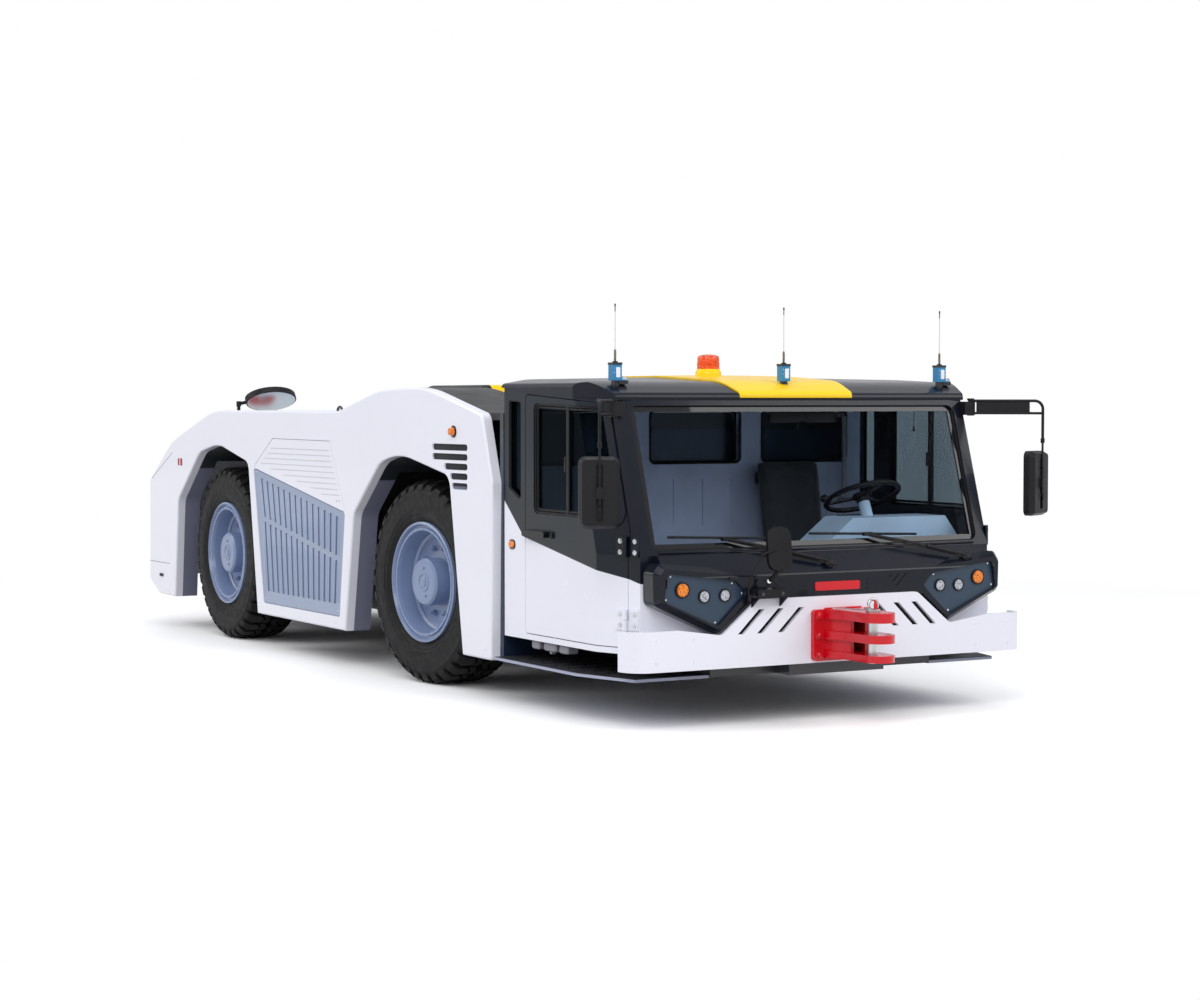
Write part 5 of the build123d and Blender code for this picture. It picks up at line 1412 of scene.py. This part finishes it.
def buildFenderLamps():
    clay = Clay(onSide(sides["skin"], *nose["fenderLamp"]))
    clay.lathe(nose["fenderFoot"], 32, closed=True)
    clay.at(onSide(cab["half"], *nose["doorLamp"]))
    clay.bezel(roundedBar(0.070, 0.052, 0.0255, 6), roundedBar(0.058, 0.040, 0.0195, 6), -0.001, 0.004, 0.001)
    clay.mirror().piece("lampFeet", blackPlastic)
    clay = Clay(onSide(sides["skin"] + 0.027, *nose["fenderLamp"]))
    for ring in nose["fenderRings"]:
        outer, inner = ring + 0.0015, ring - 0.0015
        clay.lathe([(outer, -0.004), (outer, 0.0008), (inner, 0.0008), (inner, -0.004)], 24, closed=True)
    clay.mirror().piece("fenderLampRings", amberLens)


def buildNoseTrim():
    x, z, wide, high = nose["badge"]
    clay = Clay(onFront(nose["front"], x, z))
    clay.slab(roundedBar(wide, high, 0.012), -0.001, 0.007, 0.002)
    clay.piece("badgeBar", redPaint)
    for name, spots, station, material in (("panelScrews", nose["panelScrews"], nose["panelFace"], zincSteel),
                                           ("bumperBolts", nose["bumperBolts"], -0.045, chromeSteel)):
        clay = Clay()
        for hand in (-1, 1):
            for x, z in spots:
                clay.dome((hand * x, worldY(station), z), 0.0062, 0.0035, (0, -1, 0))
        clay.piece(name, material)
    # black sheets behind the fascia's slots, painted shade for the dark radiator space
    clay = Clay(onFront(-0.020))
    for hand in (-1, 1):
        clay.slab([(hand * x, z) for x, z in nose["slotShadeBacking"]], -0.004, 0.0)
    clay.piece("slotShadeBacking", blackPlastic)
    # cowl's folded top lip
    clay = Clay()
    clay.tube([onScreen(x / 10, 0.893, 0.022) for x in range(-10, 11)], 0.006, 6)
    clay.piece("cowlLip", navyPaint)


buildLampFaces()
buildFenderLamps()
buildNoseTrim()
print("stage: nose and lamps")


# hitches

hitch = {
    "boltX": 0.150,
    "boltRows": (0.352, 0.453, 0.554),
    "plateFront": -0.073,
    "jaws": ((0.337, 0.373), (0.434, 0.477), (0.539, 0.589)),
    "weld": {"x": 0.115, "station": -0.077, "off": 0.002, "radius": 0.005},
    "rearBolts": ((0.285, 0.405), (0.285, 0.655), (0.20, 0.405), (0.20, 0.655)),
    "rearPlate": 7.085,
    # keeper chain: where it ends, its links, a link's half length and half width, the jaw's top, the sag
    "chainEnd": (-0.105, -0.165, 0.5990),
    "links": 11,
    "link": (0.0125, 0.0075),
    "chainFloor": 0.5985,
    "sag": 0.030,
    "clip": (0.022, 0.010),
}


def buildHitchTrim():
    clay = Clay()
    for hand in (-1, 1):
        for z in hitch["boltRows"]:
            clay.bolt((hand * hitch["boltX"], worldY(hitch["plateFront"]), z), 0.0165, 0.022, (0, -1, 0))
    # weld beads where the jaws meet the plate
    weld = hitch["weld"]
    for low, high in hitch["jaws"]:
        for z in (low - weld["off"], high + weld["off"]):
            clay.tube([(x, worldY(weld["station"]), z) for x in (-weld["x"], weld["x"])], weld["radius"], 6)
    clay.piece("hitchBolts", redPaint)
    eye = Vector((0, joints["front_pin_lift"]["pos_m"][1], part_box("front_pin")[1].z - 0.036))
    clay = Clay()
    hook = ((-0.004, -0.010, 0.028), (0.0, -0.014, 0.020), (0.004, -0.012, 0.004))
    clay.tube([eye + Vector(spot) for spot in hook], 0.0045, 8)
    clay.at(facing(eye + Vector((0.006, -0.016, -0.012)), (0.1, -1, 0.1)))
    clay.slab(roundedBar(0.026, 0.040, 0.008), -0.0015, 0.0015, 0.0008)
    clay.piece("pinTag", redPaint, "front_pin")
    buildChain(eye)
    clay = Clay()
    for hand in (-1, 1):
        for x, z in hitch["rearBolts"]:
            clay.bolt((hand * x, worldY(hitch["rearPlate"]), z), 0.0165, 0.022, (0, 1, 0))
    clay.piece("rearHitchBolts", redPaint)


def buildChain(eye):
    # keeper chain with its clip, lying on the top jaw
    clay = Clay()
    x, station, z = hitch["chainEnd"]
    start, end = eye + Vector((-0.030, 0.004, -0.012)), Vector((x, worldY(station), z))
    run = (end - start).normalized()
    flat = Vector((0, 0, 1)).cross(run).normalized()
    long, wide = hitch["link"]
    for number in range(hitch["links"]):
        share = (number + 0.5) / hitch["links"]
        spot = start.lerp(end, share)
        spot.z = max(hitch["chainFloor"], spot.z - hitch["sag"] * sin(pi * min(1, share * 1.3)))
        clay.tube([spot + run * long * u + flat * wide * v for u, v in circle(1, 10)], 0.0025, 6, closed=True)
    long, wide = hitch["clip"]
    angles = [2 * pi * k / 14 for k in range(13)]
    clay.tube([end + Vector((long * cos(angle), wide * sin(angle), 0)) for angle in angles], 0.0026, 6)
    clay.piece("keeperChain", zincSteel, "front_pin")


buildHitchTrim()
print("stage: hitches")


# mirrors

mirror = {
    "place": (1.386, 0.050, 1.210),
    "toe": 26,
    "head": (0.204, 0.356),
    "rimBack": 0.007,
    "back": 0.036,
    # the ridges' inner ends, aside of the middle, above it and below it
    "ridgeX": 0.0187,
    "ridgeEnds": {1: 0.030, -1: 0.060},
    "backBolts": (-0.085, 0.085, 0.0),
    "armZ": 1.629,
    "armFoot": (1.146, 0.320),
    "armBolts": (0.11, 0.16, 0.74, 0.79),
    # collars at the arm's foot, then rings on the rod as (height, segments, profile)
    "footRings": (-0.048, 0.036),
    "footRing": [(0.020, 0), (0.020, 0.012), (0.015, 0.012), (0.015, 0)],
    "rodRings": ((1.445, 20, [(0.0115, -0.012), (0.0115, 0.012), (0.0065, 0.014), (0.0065, -0.014)]),
                 (1.185, 16, [(0.0125, -0.006), (0.0125, 0.006), (0.0075, 0.006), (0.0075, -0.006)]),
                 (1.235, 16, [(0.0125, -0.006), (0.0125, 0.006), (0.0075, 0.006), (0.0075, -0.006)])),
}


def buildMirrorTrim():
    turn = radians(mirror["toe"])
    # the head's frame looks out of its back
    x, station, z = mirror["place"]
    place = Vector((x, worldY(station), z))
    forward = Vector((sin(turn), -cos(turn), 0))
    clay = Clay(facing(place, forward))
    wide, high = mirror["head"]
    # pressed ridges from the corners to the channel, and a rib round the rim
    for sx in (-1, 1):
        for sy in (-1, 1):
            near = Vector((sx * mirror["ridgeX"], sy * mirror["ridgeEnds"][sy], mirror["back"] - 0.003))
            far = Vector((sx * (wide / 2 - 0.022), sy * (high / 2 - 0.024), mirror["rimBack"] + 0.003))
            clay.tube([near, near.lerp(far, 0.5) + Vector((0, 0, 0.003)), far], 0.0080, 8)
    lip = spread(roundedBar(wide - 0.012, high - 0.012, 0.031), 0.05)
    clay.tube([(x, y, mirror["rimBack"]) for x, y in lip], 0.0052, 8, closed=True)
    for y in mirror["backBolts"]:
        clay.bolt((0, y, mirror["back"] + 0.010), 0.0055, 0.004)
    clay.mirror().piece("mirrorBacks", blackPlastic)
    # glass bead round each face
    clay = Clay(facing(place, -forward))
    bead = spread(roundedBar(wide - 0.026, high - 0.026, 0.026), 0.05)
    clay.tube([(x, y, 0.0245) for x, y in bead], 0.0028, 6, closed=True)
    clay.mirror().piece("mirrorBeads", sealRubber)
    # plate bolts along the arm, collars at its foot and on the rod
    foot = Vector((mirror["armFoot"][0], worldY(mirror["armFoot"][1]), mirror["armZ"]))
    rod = place + forward * 0.040
    run = Vector((rod.x, rod.y, mirror["armZ"])) - foot
    out = run.cross(Vector((0, 0, 1))).normalized()
    clay = Clay()
    for share in mirror["armBolts"]:
        for up in (-0.016, 0.016):
            for sign in (-1, 1):
                spot = foot + run * share + out * sign * 0.003 + Vector((0, 0, up))
                clay.dome(spot, 0.0055, 0.003, out * sign)
    for up in mirror["footRings"]:
        clay.at(shifted(foot.x, foot.y, foot.z + up)).lathe(mirror["footRing"], 24, closed=True)
    for z, segments, profile in mirror["rodRings"]:
        clay.at(shifted(rod.x, rod.y, z)).lathe(profile, segments, closed=True)
    clay.mirror().piece("mirrorFixings", blackPlastic)


noseMirror = {
    "ball": (-0.470, -0.088, 0.745),
    "ballRadius": 0.0150,
    "plateBolts": ((-0.520, 0.683), (-0.400, 0.683)),
    "collarZ": 0.7055,
    "collar": [(0.018, -0.001), (0.018, 0.006), (0.013, 0.010), (0.008, 0.012)],
    "sideBolts": ((-0.075, 0.640), (-0.075, 0.680)),
}


def buildNoseMirrorTrim():
    x, station, z = noseMirror["ball"]
    radius = noseMirror["ballRadius"]
    clay = Clay(shifted(x, worldY(station), z))
    clay.lathe([(radius * sin(pi * k / 12) + 0.0006, -radius * cos(pi * k / 12)) for k in range(1, 12)], 24)
    clay.piece("mirrorBall", chromeSteel)
    clay = Clay()
    for boltX, z in noseMirror["plateBolts"]:
        clay.bolt((boltX, worldY(-0.112), z), 0.0075, 0.006, (0, -1, 0))
    clay.at(shifted(x, worldY(station), noseMirror["collarZ"])).lathe(noseMirror["collar"], 20)
    clay.at()
    for station, z in noseMirror["sideBolts"]:
        clay.bolt((-0.549, worldY(station), z), 0.0065, 0.005, (-1, 0, 0))
    clay.piece("noseMirrorFixings", darkSteel)


buildMirrorTrim()
buildNoseMirrorTrim()
print("stage: mirrors")


# roof: ribbed beacon, aerial details

beacon = {
    "radius": 0.0640,
    "ribs": 40,
    # ribbed rings as (height over the lens foot, share of the radius), two more measured from the lens top
    "rings": ((0.0, 1.0), (0.026, 0.995), (0.028, 1.03), (0.032, 1.03), (0.034, 0.985)),
    "topRings": ((-0.016, 0.975), (-0.006, 0.95)),
    "cap": ((0.0, 0.86), (0.0055, 0.60), (0.0085, 0.25)),
    "hoops": (0.3, 0.5, 0.7),
    "foot": ((0.0735, 0.001), (0.0735, 0.020), (0.070, 0.026), (0.0655, 0.034), (0.0640, 0.038)),
}


def buildBeacon():
    low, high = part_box("beacon")
    middle = (low + high) / 2
    foot = low.z
    clay = Clay(shifted(middle.x, middle.y, 0))
    lensLow, lensHigh, radius = foot + 0.036, high.z - 0.010, beacon["radius"]
    rings = []
    steps = [(lensLow + up, share) for up, share in beacon["rings"]]
    steps += [(lensHigh + up, share) for up, share in beacon["topRings"]]
    for z, share in steps:
        ring = []
        for k, (x, y) in enumerate(circle(radius * share * 0.985, 2 * beacon["ribs"])):
            rib = 1.0 if k % 2 else 0.975
            ring.append((x * rib, y * rib, z))
        rings.append(ring)
    for up, share in beacon["cap"]:
        rings.append([(x, y, lensHigh + up) for x, y in circle(radius * share, 2 * beacon["ribs"])])
    clay.rings(rings)
    for share in beacon["hoops"]:
        height = lensLow + (lensHigh - lensLow) * share
        hoop = ((0.93, -0.0022), (0.997, 0), (0.93, 0.0022))
        clay.lathe([(radius * reach, height + up) for reach, up in hoop], 48)
    lensPiece = clay.piece("beaconLens", beaconLens)
    clay = Clay(shifted(middle.x, middle.y, 0))
    clay.lathe([(reach, foot + up) for reach, up in beacon["foot"]], 48)
    for x, y in circle(1, 3):
        clay.dome((0.0700 * x, 0.0700 * y, foot + 0.016), 0.0035, 0.0030, (x, y, 0.2))
    clay.piece("beaconFoot", yellowPaint)
    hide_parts("beacon")


aerial = {
    "x": (-1.047, 0.0, 1.047),
    "station": 0.476,
    "screws": {"aside": 0.019, "forward": 0.025, "heights": (0.004, 0.026)},
    # spring: radius, turn and rise of each step, first height, steps
    "spring": (0.0062, 0.9, 0.00085, 0.068, 62),
    "markerLamp": (0.040, 1.777),
    "label": (0.004, 0.006),
}


def buildAerialTrim():
    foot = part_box("beacon")[0].z
    station, screws = aerial["station"], aerial["screws"]
    y = worldY(station)
    clay, lamps, springs, labels = Clay(), Clay(), Clay(), Clay()
    radius, turn, rise, start, steps = aerial["spring"]
    for x in aerial["x"]:
        for side in (-1, 1):
            for up in screws["heights"]:
                place = (x + side * screws["aside"], y - screws["forward"], foot + up)
                clay.dome(place, 0.0028, 0.0020, (0, -1, 0))
        coil = [(radius * cos(k * turn), radius * sin(k * turn), k * rise) for k in range(steps)]
        springs.at(shifted(x, y, foot + start)).tube(coil, 0.0016, 6)
        if x:
            lamps.at(onFront(station - 0.0122, x + aerial["markerLamp"][0], aerial["markerLamp"][1]))
            lamps.slab(roundedBar(0.050, 0.024, 0.0115, 6), -0.002, 0.0012, 0.001)
        labels.at(onFront(station - 0.0255, x + aerial["label"][0], foot + aerial["label"][1]))
        labels.slab(roundedBar(0.024, 0.052, 0.003, 3), -0.001, 0.0006)
    clay.piece("aerialScrews", zincSteel)
    labels.piece("aerialLabels", whitePaint)
    springs.piece("aerialSprings", darkSteel)
    lamps.piece("markerLamps", clearLens)


buildBeacon()
buildAerialTrim()
print("stage: roof")


# deck, hood, rear and steps

deckTrim = {
    # lifting eyes: station, distance aside; the rear ones stand on the lower deck
    "eyes": ((4.25, 0.93), (6.15, 0.80)),
    "rearDeck": 1.487,
    "eye": (0.035, 0.026),
    "vents": {"x": 0.5195, "count": 8, "start": 0.14, "pitch": 0.075, "width": 0.020,
              "heights": (0.03, 0.095)},
    "latch": (0.36, 0.018, 0.004, (0.055, 0.110)),
}


def buildDeckTrim():
    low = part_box("hood_box")[0]
    clay = Clay()
    reach, rise = deckTrim["eye"]
    for s, x in deckTrim["eyes"]:
        top = low.z if s < 5 else deckTrim["rearDeck"]
        arc = [(x, worldY(s) + reach * cos(a), top + rise * sin(a)) for a in [pi * k / 12 for k in range(13)]]
        feet = [(x, worldY(s) + side * reach, top - 0.02) for side in (1, -1)]
        clay.tube(feet[:1] + arc + feet[1:], 0.009, 10)
    clay.mirror().piece("liftEyes", darkSteel)
    # the hood's side vents as dark strips, painted shade for the dark inside of the slots, and front latches
    vents = deckTrim["vents"]
    clay = Clay()
    for hand in (-1, 1):
        for row in range(vents["count"]):
            x, y = hand * vents["x"], low.y + vents["start"] + row * vents["pitch"]
            z0, z1 = (low.z + up for up in vents["heights"])
            clay.block((x - 0.002, y, z0), (x + 0.002, y + vents["width"], z1), 0.001)
    clay.piece("hoodVentShade", sealRubber)
    clay = Clay()
    aside, half, deep, heights = deckTrim["latch"]
    for hand in (-1, 1):
        x, (z0, z1) = hand * aside, (low.z + up for up in heights)
        clay.block((x - half, low.y - deep, z0), (x + half, low.y + deep, z1), 0.002)
    clay.piece("hoodLatches", darkSteel)


tail = {
    "x": 1.020,
    "z": 0.860,
    "pitch": 0.110,
    "face": 7.069,
    "lamps": {"tailTurn": amberLens, "tailStop": redLens, "tailReverse": clearLens},
    "cellPitch": 0.0118,
    "cell": (0.0022, 0.032),
    "grille": [(-0.50, 0.72), (0.50, 0.72), (0.50, 1.00), (-0.50, 1.00)],
    "ribs": (0.780, 0.822, 0.864, 0.906, 0.948),
}


def buildRear():
    cellX, cellZ = tail["cell"]
    for row, (label, material) in enumerate(tail["lamps"].items()):
        clay, rims = Clay(), Clay()
        for hand in (-1, 1):
            face = onBack(tail["face"], hand * tail["x"], tail["z"] + (1 - row) * tail["pitch"])
            clay.at(face).slab(roundedBar(0.116, 0.076, 0.014), -0.001, 0.0014, 0.001)
            for column in range(-4, 5):
                x = column * tail["cellPitch"]
                clay.block((x - cellX, -cellZ, 0.001), (x + cellX, cellZ, 0.0032), 0.0008)
            outer, inner = roundedBar(0.130, 0.090, 0.020), roundedBar(0.118, 0.078, 0.015)
            rims.at(face).bezel(outer, inner, -0.004, 0.0030)
        clay.piece(label + "Lenses", material, slot="lens_red")
        rims.piece(label + "Rims", blackPlastic)
    # black sheet behind the rear grille, painted shade for the dark space behind it
    clay = Clay(onBack(6.99))
    clay.slab(tail["grille"], -0.004, 0)
    clay.piece("rearGrilleShadeBacking", blackPlastic)
    clay = Clay()
    for z in tail["ribs"]:
        clay.tube([(x, worldY(7.057), z - 0.001) for x in (-0.44, 0.44)], 0.0035, 6)
    clay.piece("rearGrilleRibs", whitePaint)


grips = {
    "rows": 9,
    "columns": 16,
    "start": (0.30, 0.76),
    "pitch": (0.072, 0.052),
    "rearEnd": 1.40,
    # the step's outer edge: distance aside at its front, widening, station where it starts, length
    "edge": (1.100, 0.11, 0.115, 0.412),
    "half": 0.016,
    "lean": 0.012,
}


def buildStepTread():
    # rows of raised grips along both step plates
    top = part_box("steps")[1].z
    aside, wider, start, length = grips["edge"]
    half = grips["half"]
    clay = Clay()
    for row in range(grips["rows"]):
        x = grips["start"][1] + row * grips["pitch"][1]
        for column in range(grips["columns"]):
            s = grips["start"][0] + (column + 0.5 * (row % 2)) * grips["pitch"][0]
            limit = aside + wider * max(0.0, min(1.0, (s - start) / length))
            if x < limit and s < grips["rearEnd"]:
                y = worldY(s)
                lean = grips["lean"] if (row + column) % 2 else -grips["lean"]
                outline = [(x - half, y - lean - 0.003), (x, y - 0.0055), (x + half, y + lean - 0.003),
                           (x + half, y + lean + 0.003), (x, y + 0.0055), (x - half, y - lean + 0.003)]
                clay.slab(outline, top - 0.001, top + 0.0022, 0.001)
    clay.mirror().piece("stepTread", chassisPaint)


buildDeckTrim()
buildRear()
buildStepTread()
print("stage: deck, rear and steps")


# floor, light, camera

stageSetup = {
    "half": 40.0,
    "nearFloor": 4.6,
    "farFloor": 8.5,
    "floorTone": 1.10,
    "worldStrength": 0.67,
    # place, target, size, watts
    "softboxes": (
        ((-6, -9, 7), (0, -1.5, 0.7), 6.5, 500),
        ((6, -9, 6), (0, -2, 0.8), 6, 300),
        ((-8, 5, 6), (0, 1, 1.0), 7, 330),
        ((0, 0, 10), (0, 0, 1.2), 5, 190),
    ),
}


def buildFloor():
    # the floor the camera sees is lifted to white and fades into the backdrop; its bounce stays a plain grey
    half = stageSetup["half"]
    mesh = bpy.data.meshes.new("floor")
    corners = [(-half, -half, 0), (half, -half, 0), (half, half, 0), (-half, half, 0)]
    mesh.from_pydata(corners, [], [(0, 1, 2, 3)])
    floor = placed("floor", mesh)
    shade = Finish("paleFloor")
    seen = shade.node("ShaderNodeLightPath").outputs
    direct = shade.math("MAXIMUM", seen["Is Camera Ray"], seen["Is Glossy Ray"])
    direct = shade.math("MAXIMUM", direct, seen["Is Transmission Ray"])
    tone = shade.ramp(direct, 0, 1, 0.55, stageSetup["floorTone"])
    matte = shade.node("ShaderNodeBsdfDiffuse")
    shade.wire(shade.product(tone, shade.uneven(0.7, 3, 0.99, 1.01)), matte.inputs["Color"])
    x, y = shade.axes()[:2]
    reach = shade.math("SQRT", shade.math("ADD", shade.product(x, x), shade.product(y, y)))
    fade = shade.ramp(reach, stageSetup["nearFloor"], stageSetup["farFloor"])
    shown = shade.math("MULTIPLY", fade, direct, clamp=True)
    white = shade.node("ShaderNodeEmission")
    mesh.materials.append(shade.layer(shown, matte.outputs[0], white.outputs[0]))


def buildLight():
    for number, (place, target, size, watts) in enumerate(stageSetup["softboxes"]):
        data = bpy.data.lights.new(f"softbox{number}", "AREA")
        data.size = size
        data.energy = watts
        placed(data.name, data).matrix_world = facing(place, Vector(place) - Vector(target))
    # a plain white backdrop for the camera, a dimmer and cooler room for everything else
    world = bpy.data.worlds.new("studio")
    bpy.context.scene.world = world
    world.use_nodes = True
    tree = world.node_tree
    room = tree.nodes["Background"]
    room.inputs["Color"].default_value = (0.95, 0.965, 1.0, 1.0)
    room.inputs["Strength"].default_value = stageSetup["worldStrength"]
    backdrop = tree.nodes.new("ShaderNodeBackground")
    backdrop.inputs["Color"].default_value = (1.0, 1.0, 1.0, 1.0)
    path = tree.nodes.new("ShaderNodeLightPath")
    either = tree.nodes.new("ShaderNodeMath")
    either.operation = "MAXIMUM"
    choice = tree.nodes.new("ShaderNodeMixShader")
    for source, target in ((path.outputs["Is Camera Ray"], either.inputs[0]),
                           (path.outputs["Is Transmission Ray"], either.inputs[1]),
                           (either.outputs[0], choice.inputs[0]),
                           (room.outputs[0], choice.inputs[1]),
                           (backdrop.outputs[0], choice.inputs[2]),
                           (choice.outputs[0], tree.nodes["World Output"].inputs["Surface"])):
        tree.links.new(source, target)


view = {"lens": 72.47, "sensor": 36.0, "yaw": 29.85, "pitch": -2.355, "place": (-7.3168, -10.2935, 1.6641)}


def buildCamera():
    camera = bpy.data.cameras.new("camera")
    camera.lens = view["lens"]
    camera.sensor_width = view["sensor"]
    eye = placed("camera", camera)
    turn, tip = radians(view["yaw"]), radians(view["pitch"])
    look = Vector((sin(turn) * cos(tip), cos(turn) * cos(tip), sin(tip)))
    x, station, z = view["place"]
    eye.location = (x, worldY(station), z)
    eye.rotation_euler = look.to_track_quat("-Z", "Y").to_euler()
    bpy.context.scene.camera = eye
    bpy.context.scene.view_settings.view_transform = "Standard"


buildFloor()
buildLight()
buildCamera()
print("stage: room, lights and camera")
